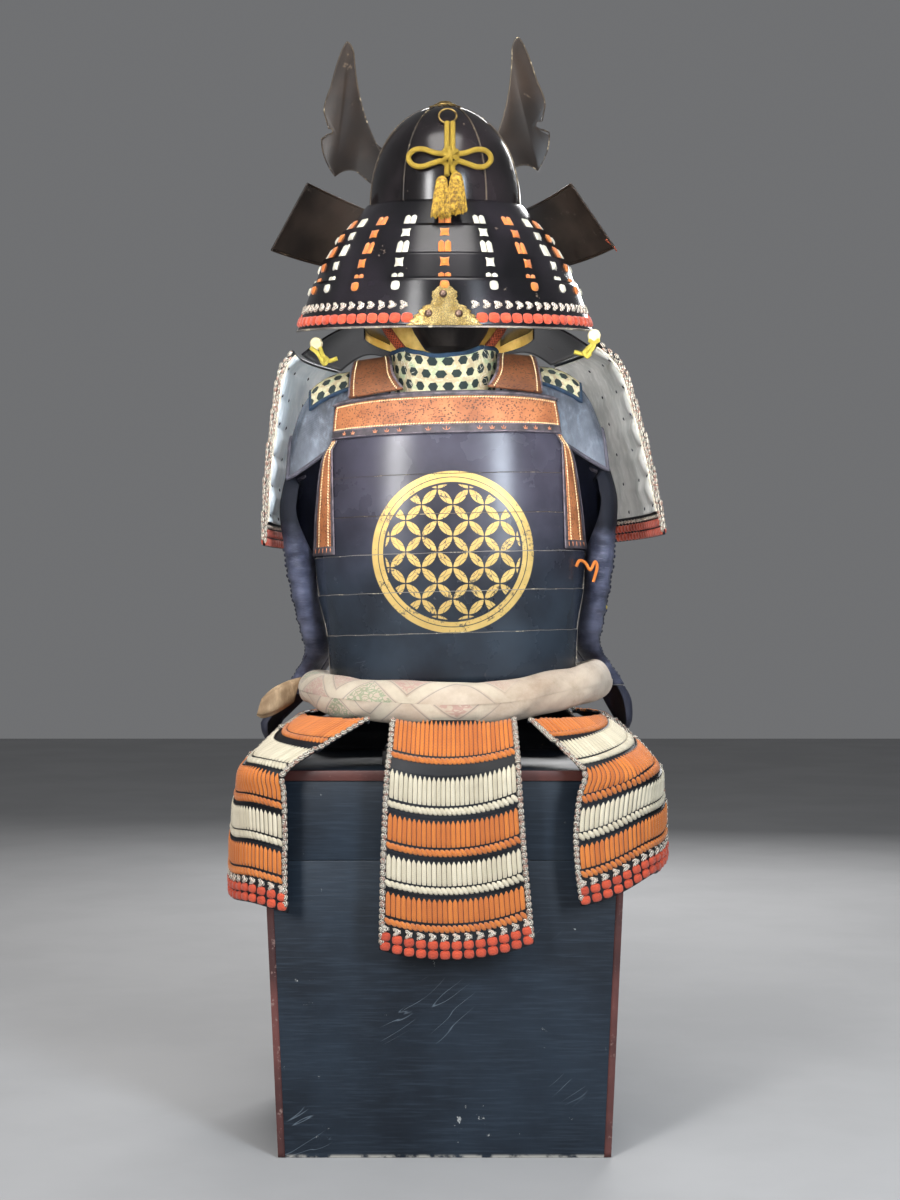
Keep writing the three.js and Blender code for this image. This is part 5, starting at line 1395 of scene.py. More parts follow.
def build_horns(sizes):
    for name, sign in SIDES:
        notch, outline = 4.5 if sign < 0 else 7.0, []
        for stroke in HORN_OUTLINE:
            if stroke is None:
                turns = np.radians(np.linspace(66, 300, 14))
                outline += [(161 + notch * np.cos(a), 159 + notch * np.sin(a)) for a in turns]
                continue
            ends = np.array(stroke, float)
            share = np.linspace(0, 1, 2 if len(ends) == 2 else 14)[:-1, None]
            if len(ends) == 2:
                line = ends[0] + (ends[1] - ends[0]) * share
            else:
                line = ends[0] * (1 - share) ** 2 + 2 * ends[1] * share * (1 - share) + ends[2] * share**2
            outline += list(map(tuple, line))
        line = turned_about(points(sign * np.array(outline)[:, 0], 0, np.array(outline)[:, 1]), "Y",
                            BODY_LEAN, HORNS_AT)
        bm = bmesh.new()
        rim = [bm.verts.new(p) for p in line * MM]
        face = bmesh.ops.contextual_create(bm, geom=rim)["faces"]
        moved = bmesh.ops.extrude_face_region(bm, geom=face)["geom"]
        bmesh.ops.translate(bm, verts=[g for g in moved if isinstance(g, bmesh.types.BMVert)],
                            vec=(0, -HORN_THICK * MM, 0))
        bmesh.ops.recalc_face_normals(bm, faces=bm.faces)
        sharp = [edge for edge in bm.edges if edge.calc_face_angle(0) > np.radians(60)]
        bmesh.ops.bevel(bm, geom=sharp, offset=0.6 * MM, segments=2, profile=0.5, affect="EDGES", material=-1)
        made = mesh_from(bm, f"horn_{name}_made", 40)
        object_from(f"horn_{name}_made", made, ["horn"], "horn", [f"horn_{name}"])
        # A tube of rubbed lacquer along the horn's edge: rubbed wear, and a painted highlight.
        edge = np.vstack([line[1:], line[1:3]]) + (0, -2.3, 0)
        tube(f"horn_rim_{name}", edge, 0.95, "rubbed", "horn", sides=6, cap=False)
    node_copy("horn_bracket", "black", "lacquer", 0.8)


# ------------------------------------------------------------------ silk cords and tassels


def free_cord(name, line, diameter, finish, slot, sides=14):
    """A cord that hangs free: a round tube along its line, declared with its own length."""
    cord = tube(name + "_made", line, diameter / 2, finish, slot, [name], sides=sides)
    length_of(line) * MM
    return cord


TASSEL_THREADS = 190


def build_bow(sizes):
    angles = np.linspace(0, 2 * np.pi, 40)
    middle = on_back(4, 122, 6.5)
    tilt = np.array(Matrix.Rotation(np.radians(58) + HELMET_TIP, 3, "X"))
    hoop = points(12.5 * np.cos(angles), 12.5 * np.sin(angles), 0) @ tilt.T + middle
    tube("cord_ring_made", hoop, 1.5, "old_gilt", "gilt", ["cord_ring"], sides=10, cap=False)

    rng = np.random.default_rng(11)
    slant = np.array(Matrix.Rotation(np.radians(-32) + HELMET_TIP, 3, "X"))
    for name, sign in SIDES:
        top = on_back(-4, 33, 11) if sign < 0 else on_back(16, 38, 13)
        into = lambda p, top=top: p @ slant.T + top
        head = ((0, -16), (6, -15.5), (8.6, -12), (8.4, -7), (7.0, -3), (4.6, 0), (0, 0.6))
        turned(f"tassel_head_{name}", head, into, "gold_thread", "gold_cord", sides=20, squash=0.7)
        frames = []
        for _ in range(TASSEL_THREADS):
            a, r = rng.uniform(0, 2 * np.pi), np.sqrt(rng.uniform(0.05, 1))
            start = np.array((8.6 * r * np.cos(a), 5.4 * r * np.sin(a), -4.0 - 5 * r))
            end = np.array((14.6 * r * np.cos(a) + rng.normal(0, 0.8), 7.2 * r * np.sin(a),
                            -64 - rng.uniform(-3, 4)))
            y = into(end) - into(start)
            z = np.cross(y, (1, 0.2, 0))
            z /= np.linalg.norm(z)
            x = np.cross(y, z) / np.linalg.norm(y)
            frame_of = np.eye(4)
            frame_of[:3, 0], frame_of[:3, 1], frame_of[:3, 2] = x * 1.5 * MM, y * MM, z * 0.8 * MM
            frame_of[:3, 3] = into(start) * MM
            frames.append(frame_of)
        spread(f"tassel_{name}_made", [("plait", np.array(frames))], "gold_thread",
                               "gold_cord", 12, [f"tassel_{name}"])

    for name, sign in SIDES:
        stops = [on_back(BOW.middle - x * sign, z + BOW.up, off) for x, z, off in BOW_ROUTE]
        if sign > 0:
            stops[-1] = stops[-1] + (4, 0, 3)
        free_cord(f"bow_cord_{name}", route(stops, 150), BOW.diameter, "gold_cord", "gold_cord")
    # The knot where the two cords cross: three short turns over one another.
    knot = on_back(BOW.middle, BOW.knot + BOW.up, 6 + BOW.diameter / 2)
    for k, stops in enumerate(KNOT_TURNS, 1):
        line = route([knot + np.array((x, y, z)) for x, z, y in stops], 20)
        tube(f"bow_knot_turn_{k}", line, 3.4, "gold_cord", "gold_cord", ["bow_knot"] if k == 1 else ())

    stops = ((92, -4, 1176), (85, -8, 1150), (71, -14, 1128), (56, -22, 1108), (47, -28, 1090),
             (43, -32, 1068))
    for name, sign in SIDES:
        line = route([(sign * x - 1, y, z) for x, y, z in stops], 50)
        free_cord(f"chin_cord_{name}", line, 13, "red_cord", "red_silk")


# ------------------------------------------------------------------ the cuirass


def stitched(sheet, us, vs, middle, pitch, size, turn=0.0):
    """A row of stitches along a line on a surface, at an even pitch in millimetres."""
    line = sheet(np.asarray(us, float), np.asarray(vs, float))
    far = np.append(0, np.cumsum(np.linalg.norm(np.diff(line, axis=0), axis=1)))
    at = np.linspace(0, far[-1], int(far[-1] / pitch) + 1)
    u, v = np.interp(at, far, us), np.interp(at, far, vs)
    return on_surface("bead", sheet, u, v, middle, size, 0.3, turn)


def armhole_band(name, sign):
    """The stencilled band beside an armhole, with its grey strips, piping, tab and stitches."""

    def beside(u, v):
        z = 176 + 158 * np.asarray(v)
        row = row_at(CUIRASS, z)
        edge = np.minimum(row.edge, row.half * 0.992) - 0.6
        inside = np.minimum(158, edge - 7)
        return in_body(body_point(sign * (inside + (edge - inside) * u), z, True))

    face = offset(beside, 4.3)
    us, vs = np.linspace(0.12, 0.88, 9), np.linspace(0.06, 1, 60)
    piece = shell(f"armhole_band_{name}_made", face, us, vs, BODY_AXIS, ["leather"], "leather",
                  [f"armhole_band_{name}"], wall=1.6)
    for part, u0, u1 in (("inner", 0.0, 0.13), ("outer", 0.87, 1.0)):
        shell(f"armhole_strip_{part}_{name}", offset(beside, 4.4), np.linspace(u0, u1, 4),
              np.linspace(0, 1, 50), BODY_AXIS, ["grey_strip"], "leather", wall=1.6)
        tube(f"armhole_piping_{part}_{name}",
             offset(beside, 3.9)(np.full(50, (u0 if part == "inner" else u1)), np.linspace(0, 1, 50)), 1.1,
             "piping", "leather", sides=8)
    shell(f"armhole_tab_{name}", offset(beside, 4.7), np.linspace(0.0, 1.0, 9), np.linspace(-0.005, 0.07, 5),
          BODY_AXIS, ["grey_strip"], "leather", wall=2)
    line = np.linspace(0.08, 0.98, 60)
    top = offset(beside, 4.4)
    rows = [stitched(top, line * 0 + u, line, BODY_AXIS, 3.9, (1.0, 1.9, 0.8), turn=lean)
            for u, lean in ((0.26, 0.5), (0.72, -0.5))]
    spread(f"armhole_stitches_{name}", rows, "rope_stitch", "leather")
    teeth = on_surface("bead", offset(beside, 4.9), np.linspace(0.15, 0.85, 5), 0.035, BODY_AXIS,
                       (0.7, 3.6, 0.6))
    spread(f"tab_stitches_{name}", [teeth], "orange_stitch", "leather")


def shoulder_strap(name, sign):
    """A strap over the shoulder, with stitches and piping along it."""
    plain = strap_sheet(sign)

    def strap(along, across):
        """The strap widens towards the neck where it runs in under the band."""
        flare = 0.24 * np.clip(1 - np.asarray(along) / 1.6, 0, 1) ** 1.5
        return plain(along, across * (1 + flare) - flare)

    middle = axis(12 + sign * 100, -30, 945)
    face = offset(strap, 4, middle)
    piece = shell(f"shoulder_strap_{name}_made", face, np.linspace(0, 8, 73), np.linspace(0, 1, 13), middle,
                  ["shaded_strap_leather"], "leather", [f"shoulder_strap_{name}"], wall=4)
    along = np.linspace(0.1, 7.9, 90)
    rows = [stitched(face, along, along * 0 + v, middle, 3.7, (0.9, 1.75, 0.8), turn=1.57)
            for v in (0.1, 0.9)]
    spread(f"strap_stitches_{name}", rows, "rope_stitch", "leather")
    for part, v in (("inner", 0.0), ("outer", 1.0)):
        tube(f"strap_piping_{part}_{name}", offset(strap, 2.4, middle)(along, along * 0 + v), 2.1, "piping",
             "leather", sides=8)


def build_cuirass(sizes):
    for part, is_back, top in (("back", True, BACK_TOP), ("front", False, FRONT_TOP)):
        sheet = plate_sheet(is_back)
        heights = lame_rows((*LAME_JOINTS, top), 0.8, 7)
        outer = offset(sheet, lambda u, v: lame_step(v))
        shell(f"cuirass_{part}_made", outer, np.linspace(-1, 1, 97), heights, BODY_AXIS, ["cuirass"],
              "lacquer", [f"cuirass_{part}"], wall=2.2, smooth=28)
        # A tube of pale lacquer along each joint: rubbed wear, and a painted highlight on the lame's edge.
        for number, joint in enumerate(LAME_JOINTS[1:-1], 1):
            wide = np.linspace(-0.985, 0.985, 120)
            wave = 0.25 * np.sin(wide * 31 + number) + 0.2 * np.sin(wide * 12 + 2 * number)
            line = offset(sheet, 1.25)(wide, joint - 0.6 + wave)
            tube(f"lame_edge_{part}_{number}", line, 0.55, "worn_highlit_edge" if number < 4 else "rubbed", "lacquer",
                 sides=6)
        # Tubes of pale lacquer along the plates' side edges: rubbed wear, and a painted highlight.
        for name, sign in SIDES:
            line = offset(sheet, 0.4)(np.full(60, sign * 0.998), np.linspace(-8, 172, 60))
            tube(f"plate_edge_{part}_{name}", line, 2.0 if sign > 0 else 1.3, "worn_highlit_edge", "lacquer", sides=8)

    # The leather band below the neck, its grey strips, and the stitches along them.
    back = plate_sheet(True)

    def trimmed(u, z):
        """Across the band, whose upper corners are rounded off."""
        drawn = np.clip((np.asarray(z) - 352) / 40, 0, 1)
        return back(u * (1 - 0.062 * drawn**2), z)

    band = offset(trimmed, 4.3)
    across = np.linspace(-0.995, 0.995, 97)
    piece = shell("back_band_made", band, across, np.linspace(347, 388, 15), BODY_AXIS, ["leather"],
                  "leather", ["back_band"], wall=1.6)
    for part, low, high in (("lower", 337, 347.4), ("upper", 387.6, 396)):
        shell(f"band_strip_{part}", offset(trimmed, 4.5), across, np.linspace(low, high, 5), BODY_AXIS,
              ["grey_strip"], "leather", wall=1.6)
    on_band = offset(trimmed, 4.4)
    ends, ups = np.linspace(-0.955, 0.955, 90), np.linspace(350, 385, 30)
    rows = [stitched(on_band, ends, ends * 0 + z, BODY_AXIS, 3.7, (1.75, 0.95, 0.8), turn=0.35)
            for z in (349.6, 385.4)]
    rows += [stitched(on_band, ups * 0 + side, ups, BODY_AXIS, 3.7, (0.95, 1.75, 0.8))
             for side in (-0.955, 0.955)]
    spread("band_stitches", rows, "rope_stitch", "leather")
    on_strip, prongs = offset(back, 4.6), []
    centres = np.array((-0.82, -0.72, -0.5, -0.4, -0.3, -0.1, 0.0, 0.2, 0.29, 0.38, 0.57, 0.67, 0.83))
    for lean, aside, tall in ((0.0, 0.0, 3.0), (0.75, -2.2, 2.0), (-0.75, 2.2, 2.0)):
        prongs.append(on_surface("bead", on_strip, centres + aside / 175, 342.5 - abs(aside) * 0.35,
                                 BODY_AXIS, (0.6, tall, 0.6), turn=lean))
    base = on_surface("bead", on_strip, centres, 340.2, BODY_AXIS, (3.2, 0.6, 0.6))
    spread("strip_stitches", [*prongs, base], "orange_stitch", "leather", 3)
    for part, z in (("upper", 392), ("middle", 347.5), ("lower", 337)):
        tube(f"band_piping_{part}", offset(back, 4.0)(across, across * 0 + z), 1.5 if z > 390 else 1.0,
             "piping", "leather", sides=8)

    for name, sign in SIDES:
        armhole_band(name, sign)
        shoulder_strap(name, sign)

    # The orange lace at the side, tied through the plate's edge with one end loose.
    stops = ((176, -67, 150), (181, -68, 158), (189, -65, 155), (196, -62, 145), (203, -60, 156),
             (206, -58, 148), (200, -60, 128))
    line = body_route(stops, 70)
    free_cord("side_tie", line, 4.5, "orange_cord", "orange_silk", sides=10)


# ------------------------------------------------------------------ collar, vest, sleeves


def build_collar(sizes):
    def sheet(angle, rise):
        around = np.clip(np.abs(angle) / 100, 0, 1)
        foot = 380 + 46 * around**2.4
        dip = 12 * np.cos(np.radians(np.clip(np.asarray(angle) * 2.1, -90, 90)))
        lean = 1 + 0.04 * rise
        p = ring_point(70 * lean, 66 * lean, 60, 2.2, np.radians(angle), 0)
        return in_body(p + points(0, -22, foot + (460 - dip - foot) * rise))

    middle = axis(12, -52)
    outer = creased(offset(sheet, 3, middle), ((-30, 0.5, 8, 5, 0.6, 1.0), (22, 0.6, -9, 6, 0.5, 1.2),
                                               (-4, 0.4, 6, 4, 0.6, -0.8), (50, 0.5, 5, 5, 0.6, 1)), middle,
                                               (0.05, 0.005))
    angles = np.linspace(-128, 128, 121)
    piece = shell("collar_made", outer, angles, np.linspace(0, 1, 17), middle, ["quilt", "inner_shade_cloth"],
                  "quilt", ["collar"], wall=3)
    top = offset(sheet, 1.6, middle)(angles, angles * 0 + 0.99)
    tube("collar_binding", top + points(0, 0, 0.6 * np.sin(angles * 0.21)), 3.4, "navy_binding", "navy_cloth",
         sides=10)
    rng = np.random.default_rng(21)
    frayed = rng.choice([-1, 1], 46) * rng.uniform(34, 52, 46)
    threads = on_surface("bead", outer, frayed, rng.uniform(0.05, 0.98, 46), middle, (0.3, 4.2, 0.3), off=1.2,
                         turn=rng.uniform(-1.4, 1.4, 46), step=(0.05, 0.005))
    spread("collar_threads", [threads], "cream_piping", "quilt")

    for name, sign in SIDES:
        middle = axis(12 + sign * 60, -30, 880)
        cap = vest_sheet(sign)

        def on_cap(u, v):
            return cap(0.35 + 0.35 * np.asarray(u), -0.46 + 0.92 * np.asarray(v))

        face = creased(offset(on_cap, 4.2, middle), ((0.3, 0.1, 0.8, 0.12, 0.2, 0.8),
                                                     (0.7, 0.2, -0.6, 0.1, 0.2, 0.9),
                                                     (0.5, 0.8, 0.4, 0.12, 0.2, 0.8)), middle)
        us, vs = np.linspace(0, 1, 25), np.linspace(0, 1, 61)
        piece = shell(f"shoulder_pad_{name}_made", face, us, vs, middle, ["quilt"], "quilt",
                      [f"shoulder_pad_{name}"], wall=3)
        edge = offset(on_cap, 2.6, middle)
        tube(f"pad_binding_{name}", hem_of(edge, us, us), 2.9, "navy_binding", "navy_cloth", sides=10)


SLEEVE_FOLDS = (
    (168, 0.1, 9, 5, 0.5, 1.8), (150, -0.2, -12, 6, 0.45, 2.1), (136, 0.25, 10, 4, 0.4, 1.6),
    (118, -0.05, -7, 6, 0.6, 2.3),
    (102, 0.3, 12, 5, 0.4, 2.0), (88, -0.3, -10, 4, 0.4, 2.2), (72, 0.05, 8, 5, 0.5, 2.4),
    (58, -0.15, -8, 4, 0.5, 1.9),
    (44, 0.25, 10, 5, 0.5, 2.1), (30, -0.1, -6, 4, 0.6, 1.8), (14, 0.1, 6, 4, 0.6, 1.6),
    (126, 0.6, 12, 5, 0.3, 1.8),
    (80, 0.62, -9, 5, 0.3, 1.8), (160, -0.62, 12, 5, 0.3, 1.8), (96, -0.62, -10, 5, 0.3, 1.6),
    (190, 0.0, 8, 6, 0.6, 1.2),
)


def build_worn_cloth(sizes):
    for name, sign in SIDES:
        cap = vest_sheet(sign)
        middle = axis(12 + sign * 80, -30, 870)
        folds = ((0.2, -0.6, 0.5, 0.05, 0.35, 1.4), (0.42, -0.7, 0.3, 0.04, 0.3, -1.2),
                 (0.62, -0.6, -0.2, 0.05, 0.35, 1.5),
                 (0.8, -0.5, -0.4, 0.04, 0.3, 1.3), (0.3, 0.6, -0.4, 0.05, 0.3, 1.3),
                 (0.7, 0.6, 0.3, 0.05, 0.3, 1.4))

        def trimmed(u, v, cap=cap):
            rise = 0.3 * np.clip(1 - np.asarray(u), 0, 1) ** 1.7
            return cap(u, np.where(np.asarray(v) < 0, v * (1 - rise), v))

        face = creased(trimmed, folds, middle)
        us, vs = np.linspace(0, 1, 49), np.linspace(-1, 1, 73)
        # The insides of the vest and the sleeve are nearly black cloth: painted shade.
        piece = shell(f"vest_{name}_made", face, us, vs, middle, ["vest", "inner_shade_cloth"], "blue_cloth",
                      [f"vest_{name}"], wall=2)
        tube(f"vest_binding_{name}", hem_of(trimmed, us, vs), 3.0, "vest_edge", "navy_cloth", sides=8)

        def around(level, v, sign=sign):
            row = row_at(SLEEVE, level)
            return sleeve_point(row, v * row.cover, sign)

        middle = axis(12 + sign * 205, -12)
        face = creased(around, SLEEVE_FOLDS, middle, (0.05, 2e-3))
        levels = np.concatenate([np.linspace(278, 196, 24), np.linspace(194, -22, 96)])
        piece = shell(f"sleeve_{name}_made", face, levels, np.linspace(-1, 1, 73), middle,
                      ["satin", "inner_shade_cloth"], "satin", [f"sleeve_{name}"], wall=2)

        # A nearly black sheet across the armhole, from the plates out to the sleeve: painted shade where the
        # opening lies dark.
        def armhole_shade_sheet(u, v, sign=sign):
            level = 130 + 190 * np.asarray(v)
            row = row_at(CUIRASS, level)
            near = points(sign * (row.half - 4), 14, level)
            far = points(sign * np.maximum(row.half + 12, 240 - 0.08 * level), 44, level)
            return in_body(near + (far - near) * np.asarray(u)[..., None])

        shell(f"sleeve_gusset_{name}", armhole_shade_sheet, np.linspace(0, 1, 9), np.linspace(0, 1, 25),
              axis(12, 400, 870), ["inner_shade_cloth"], "navy_cloth", wall=1.2)
        down = np.linspace(186, -10, 60)
        edging = [stitched(face, down, down * 0 + v, middle, 7.5, (2.6, 2.0, 2.0), turn=0.4)
                  for v in (-0.16, -0.1)]
        spread(f"sleeve_edging_{name}", edging, "hand_cloth", "navy_cloth")

        def hand(level, v, sign=sign, name=name):
            row = row_at(HAND, level)
            return sleeve_point(row, v * 100, sign, HAND_SPREAD[name] * np.clip((-23.3 - level) / 40, 0, 1))

        middle = axis(12 + sign * 225, 75)
        piece = shell(f"hand_cover_{name}_made", hand, np.linspace(-23.3, -86.3, 41), np.linspace(-1, 1, 41),
                      middle, ["hand_cloth"], "navy_cloth", [f"hand_cover_{name}"], wall=3)
    button = on_surface("bead", around, [92.0], [-0.2], middle, (4, 4, 3))
    spread("sleeve_button", [button], "yellow_cord", "gold_cord")


# ------------------------------------------------------------------ laced guards and skirts


def laced(face, lames, count, middle, step, edge, short_foot=False):
    """Rows of upright cords with a slanting rope row below each, by turns in two colours.

    Where short_foot is set, the lowest cords end above the knots."""
    places = np.linspace(-edge, edge, count + 1)
    places = (places[1:] + places[:-1]) / 2
    found = {"orange": [], "cream": []}
    for number, (top, foot) in enumerate(zip(lames, lames[1:])):
        long = min(foot - top, 56)
        rows = found["orange" if number % 2 == 0 else "cream"]
        reach = 32 / 57 * long if short_foot and foot == lames[-1] else (foot - top) * 0.65
        start = top + 0.03 * long
        rows.append(wrapped("plait", face, places, start, (2 * edge / count * 0.9, reach, 2.5), middle, step))
        rope = start + reach + 0.14 * long
        rows.append(on_surface("bead", face, places, rope, middle, (3.5, 6.6, 2.8), off=0.3, turn=0.72,
                               step=step))
    return found


def build_tassets(sizes):
    board, step = axis(8, 0, -200), (0.02, 1.5)
    rng = np.random.default_rng(31)
    lacing, knots, red, edging = {"orange": [], "cream": []}, [], [], []
    for number in range(TASSETS):
        plain = tasset_sheet(number)
        face = offset(plain, lambda u, v: 1 + lap_at(TASSET_LAMES, 2.6, np.maximum(v, 0.01)), board, step)
        downs = lame_rows(TASSET_LAMES, 0.8, 11)
        shell(f"tasset_{number + 1}_made", face, np.linspace(-1, 1, 41), downs, board, ["skirt_plate"],
              "lacquer", [f"tasset_{number + 1}"], wall=3.5, smooth=28)
        for colour, parts in laced(face, TASSET_LAMES, 27, board, step, 0.93, short_foot=True).items():
            lacing[colour] += parts
        thirteen = np.linspace(-0.93, 0.93, 13)
        for lift, lean in ((1.4, 0.6), (-1.4, -0.6)):
            knots.append(on_surface("bead", face, thirteen, 297, board, (6.6, 3.0, 3.2), off=0.4,
                                    slide=(0, lift), turn=lean + rng.normal(0, 0.14, 13), step=step))
        for down in (307.5, 320):
            red.append(on_surface("pad", face, thirteen * 0.995, down, board, (13.6, 12.2, 4.2),
                                  turn=rng.normal(0, 0.07, 13), step=step))
        for side in (-1, 1):
            downs = np.arange(4, 318, 8.2)
            edging.append(on_surface("bead", face, side * 0.972, downs, board, (4.2, 5.3, 3.0), off=0.4,
                                     turn=side * -0.35, step=step))
    for colour, parts in lacing.items():
        spread(f"skirt_lacing_{colour}", parts, colour, "orange_silk", 32)
    spread("skirt_knots", knots, "knots", "pale_cloth", 33)
    spread("skirt_red_lacing", red, "coral", "red_silk", 34)
    spread("skirt_edging", edging, "flecked", "pale_cloth", 35)


def guard_lining(name, sign, centred, outside, inside):
    """The cloth lining, which pulls in between its ties, more at its edges than in its middle."""

    def puffed(u, v):
        between = np.abs(np.sin(np.pi * (np.asarray(v) - 22) / 41.5)) ** 0.7
        near, far = (np.asarray(u) + 0.985) / 0.12, (np.asarray(u) + 0.86) / 0.5
        edge = np.sqrt(np.clip(near, 0, 1)) * np.exp(-np.clip(far, 0, 9))
        return -1.5 - 8 * between * edge

    lining = offset(centred, puffed, outside)
    folds = [(0.0, down, 0.05 * (-1) ** k, 2.0, 7, 1.6) for k, down in enumerate((30, 72, 118, 160, 205))]
    folds += [(side * 0.93, down, 0.0, 0.16, 10, 2.2) for side in (-1, 1)
              for down in (22, 62, 104, 150, 192, 228)]
    face = creased(lining, folds, inside)
    pale = "pale_lining" if sign < 0 else "grey_lining"
    us, vs = np.linspace(-0.976, 0.976, 41), np.linspace(3, 240, 85)
    piece = shell(f"guard_lining_{name}_made", face, us, vs, inside, [pale], "pale_cloth",
                  [f"guard_lining_{name}"], wall=1.6)
    for side in (-1, 1):
        tube(f"lining_piping_{'back' if side < 0 else 'front'}_{name}", face(vs * 0 + side * 0.976, vs), 1.7,
             "cream_piping", "pale_cloth", sides=8)
    ties = on_surface("bead", face, np.tile((-0.9, -0.3, 0.3, 0.9), 6),
                      np.repeat((20, 60, 100, 146, 190, 232), 4), inside, (1.5, 2.6, 1.4))
    spread(f"lining_ties_{name}", [ties], "hand_cloth", "navy_cloth")


def guard_top_plate(name, sign, centred):
    """The top plate, which leans in from the guard's upper edge, under the helmet."""

    def top_plate(u, w):
        edge = centred(u, np.asarray(u) * 0.0)
        low = 36 * np.clip((np.asarray(u) + 0.6) / 1.6, 0, 1) ** 1.5
        inner = np.stack([np.full(edge.shape[:-1], sign * 82.0), edge[..., 1] * 0.75 + 6, 1157 - low], -1)
        share = np.asarray(w)[..., None]
        return edge + (inner - edge) * share + points(0, 0, 16 * np.sin(np.pi * np.asarray(w)))

    shell(f"guard_top_plate_{name}", top_plate, np.linspace(-0.62, 1, 25), np.linspace(0.02, 1, 17),
          axis(sign * 60, 0, 1000), ["black"], "lacquer", wall=2)


def toggle(name, sign):
    """A toggle above a guard, in its loop of cord with a knot and a loose end."""
    place = (sign * TOGGLE_X[name], -30, GUARD.top + 11)
    into = lambda p: in_body(p @ np.array(Matrix.Rotation(np.radians(90), 3, "X")).T + np.array(place, float))
    turned(f"toggle_{name}_made", ((0, -7), (6.6, -7), (8, -5.8), (9.2, 0), (9.2, 5), (7.8, 7), (0, 7)), into,
           "ivory", "ivory", [f"toggle_{name}"], sides=24)
    x = sign * TOGGLE_X[name]
    for part, stops in (
        ("loop", ((x - 7, -40, 470), (x - 2 * sign, -46, 462), (x - 8 * sign, -48, 452),
                  (x - 14 * sign, -47, 446))),
        ("end", ((x + 6, -40, 470), (x - 10 * sign, -47, 458), (x - 18 * sign, -49, 450),
                 (x - 30 * sign, -48, 453))),
        ("knot", ((x - 10 * sign, -49, 457), (x - 16 * sign, -53, 451), (x - 12 * sign, -53, 445),
                  (x - 8 * sign, -49, 450))),
    ):
        tube(f"toggle_{part}_{name}", body_route(stops, 24), 3.1, "yellow_cord", "gold_cord", sides=8)


def build_guards(sizes):
    rng = np.random.default_rng(41)
    for name, sign in SIDES:
        plain = guard_sheet(name, sign)
        outside, inside = axis(sign * -400, 0, 945), axis(sign * 1400, 0, 945)
        centred = lambda u, v, plain=plain: plain((np.asarray(u) + 1) / 2, v)
        face = offset(centred, lambda u, v: 2 + lap_at(GUARD_LAMES, 2.4, v), outside)
        downs = lame_rows(GUARD_LAMES, 0.6, 7)
        shell(f"shoulder_guard_{name}_made", face, np.linspace(-1, 1, 49), downs, outside, ["skirt_plate"],
              "lacquer", [f"shoulder_guard_{name}"], wall=3, smooth=28)
        found = laced(face, GUARD_LAMES[2:], 38, outside, (1e-3, 1e-3), 0.95)
        for colour, parts in found.items():
            spread(f"guard_lacing_{colour}_{name}", parts, colour, "orange_silk", 42)
        back = offset(centred, -1.2, outside)
        across = np.linspace(-0.94, 0.94, 21)
        inner = [on_surface("pad", back, across, down, inside, (13, 11.5, 3),
                            turn=rng.normal(0, 0.06, len(across))) for down in (255.5, 268)]
        outer = [on_surface("pad", face, across, 268, outside, (13, 11, 3.2),
                            turn=rng.normal(0, 0.06, len(across)))]
        spread(f"guard_red_lacing_{name}", inner + outer, "coral", "red_silk", 43)
        spread(f"guard_hem_knots_{name}", [on_surface("bead", back, across, 246, inside, (4.6, 2.8, 2),
                                                      off=0.3)], "knots", "pale_cloth", 44)
        edging = []
        for side in (-1, 1):
            down = np.arange(6, 270, 8.0)
            edging.append(on_surface("bead", face, side * 0.985, down, outside, (3.8, 5.4, 3),
                                     turn=side * 0.3))
            edging.append(on_surface("bead", back, side * 0.995, down + 4, inside, (2.6, 5.2, 2.6),
                                     turn=side * 0.3))
        spread(f"guard_edging_{name}", edging, "flecked", "pale_cloth", 45)

        guard_lining(name, sign, centred, outside, inside)
        guard_top_plate(name, sign, centred)
        toggle(name, sign)


# ------------------------------------------------------------------ the sash


SASH_FOLDS = (
    (-92, 250, 1.15, 15, 46, -3.4), (-62, 215, 0.9, 12, 40, -3.0), (-34, 200, 1.3, 13, 44, -3.2),
    (-8, 225, 0.9, 12, 46, -2.8),
    (20, 200, 1.1, 13, 42, -3.0), (48, 215, 0.7, 14, 50, -2.6), (78, 200, 1.0, 12, 40, -3.2),
    (-75, 330, 1.0, 14, 40, 2.2),
    (-45, 300, 1.2, 14, 40, 2.4), (-15, 290, 1.0, 14, 44, 2.0), (15, 310, 1.0, 13, 44, 2.2),
    (45, 300, 0.8, 14, 44, 2.4),
    (75, 320, 1.0, 14, 40, 2.0), (120, 200, 1.1, 14, 46, -3.0), (150, 230, 1.0, 13, 46, -2.8),
    (182, 210, 1.2, 14, 46, -3.0),
    (214, 220, 0.9, 13, 46, -2.8), (236, 300, 1.0, 14, 46, 2.2), (166, 300, 1.0, 14, 46, 2.2),
    (-60, 20, 1.0, 12, 60, -2.4),
    (-10, 30, 1.1, 12, 60, -2.6), (40, 20, 0.9, 12, 60, -2.4),
)


def sash_swell(turn, spin):
    """The rolled cloth's spiral creases."""
    total = 0
    for turn0, spin0, slope, narrow, reach, high in SASH_FOLDS:
        aside = (np.asarray(spin) - spin0 + 180) % 360 - 180
        along = (turn - turn0) - aside * slope * 0.25
        total = total + high * np.exp(-((along / (narrow * 0.55)) ** 2) - (aside / reach / 1.6) ** 2)
    pulls = np.sin(np.radians(turn * 7 + spin * 1.6)) + 0.7 * np.sin(np.radians(turn * 13 - spin * 1.1 + 60))
    return 1.35 * total + 0.75 * pulls - 0.8


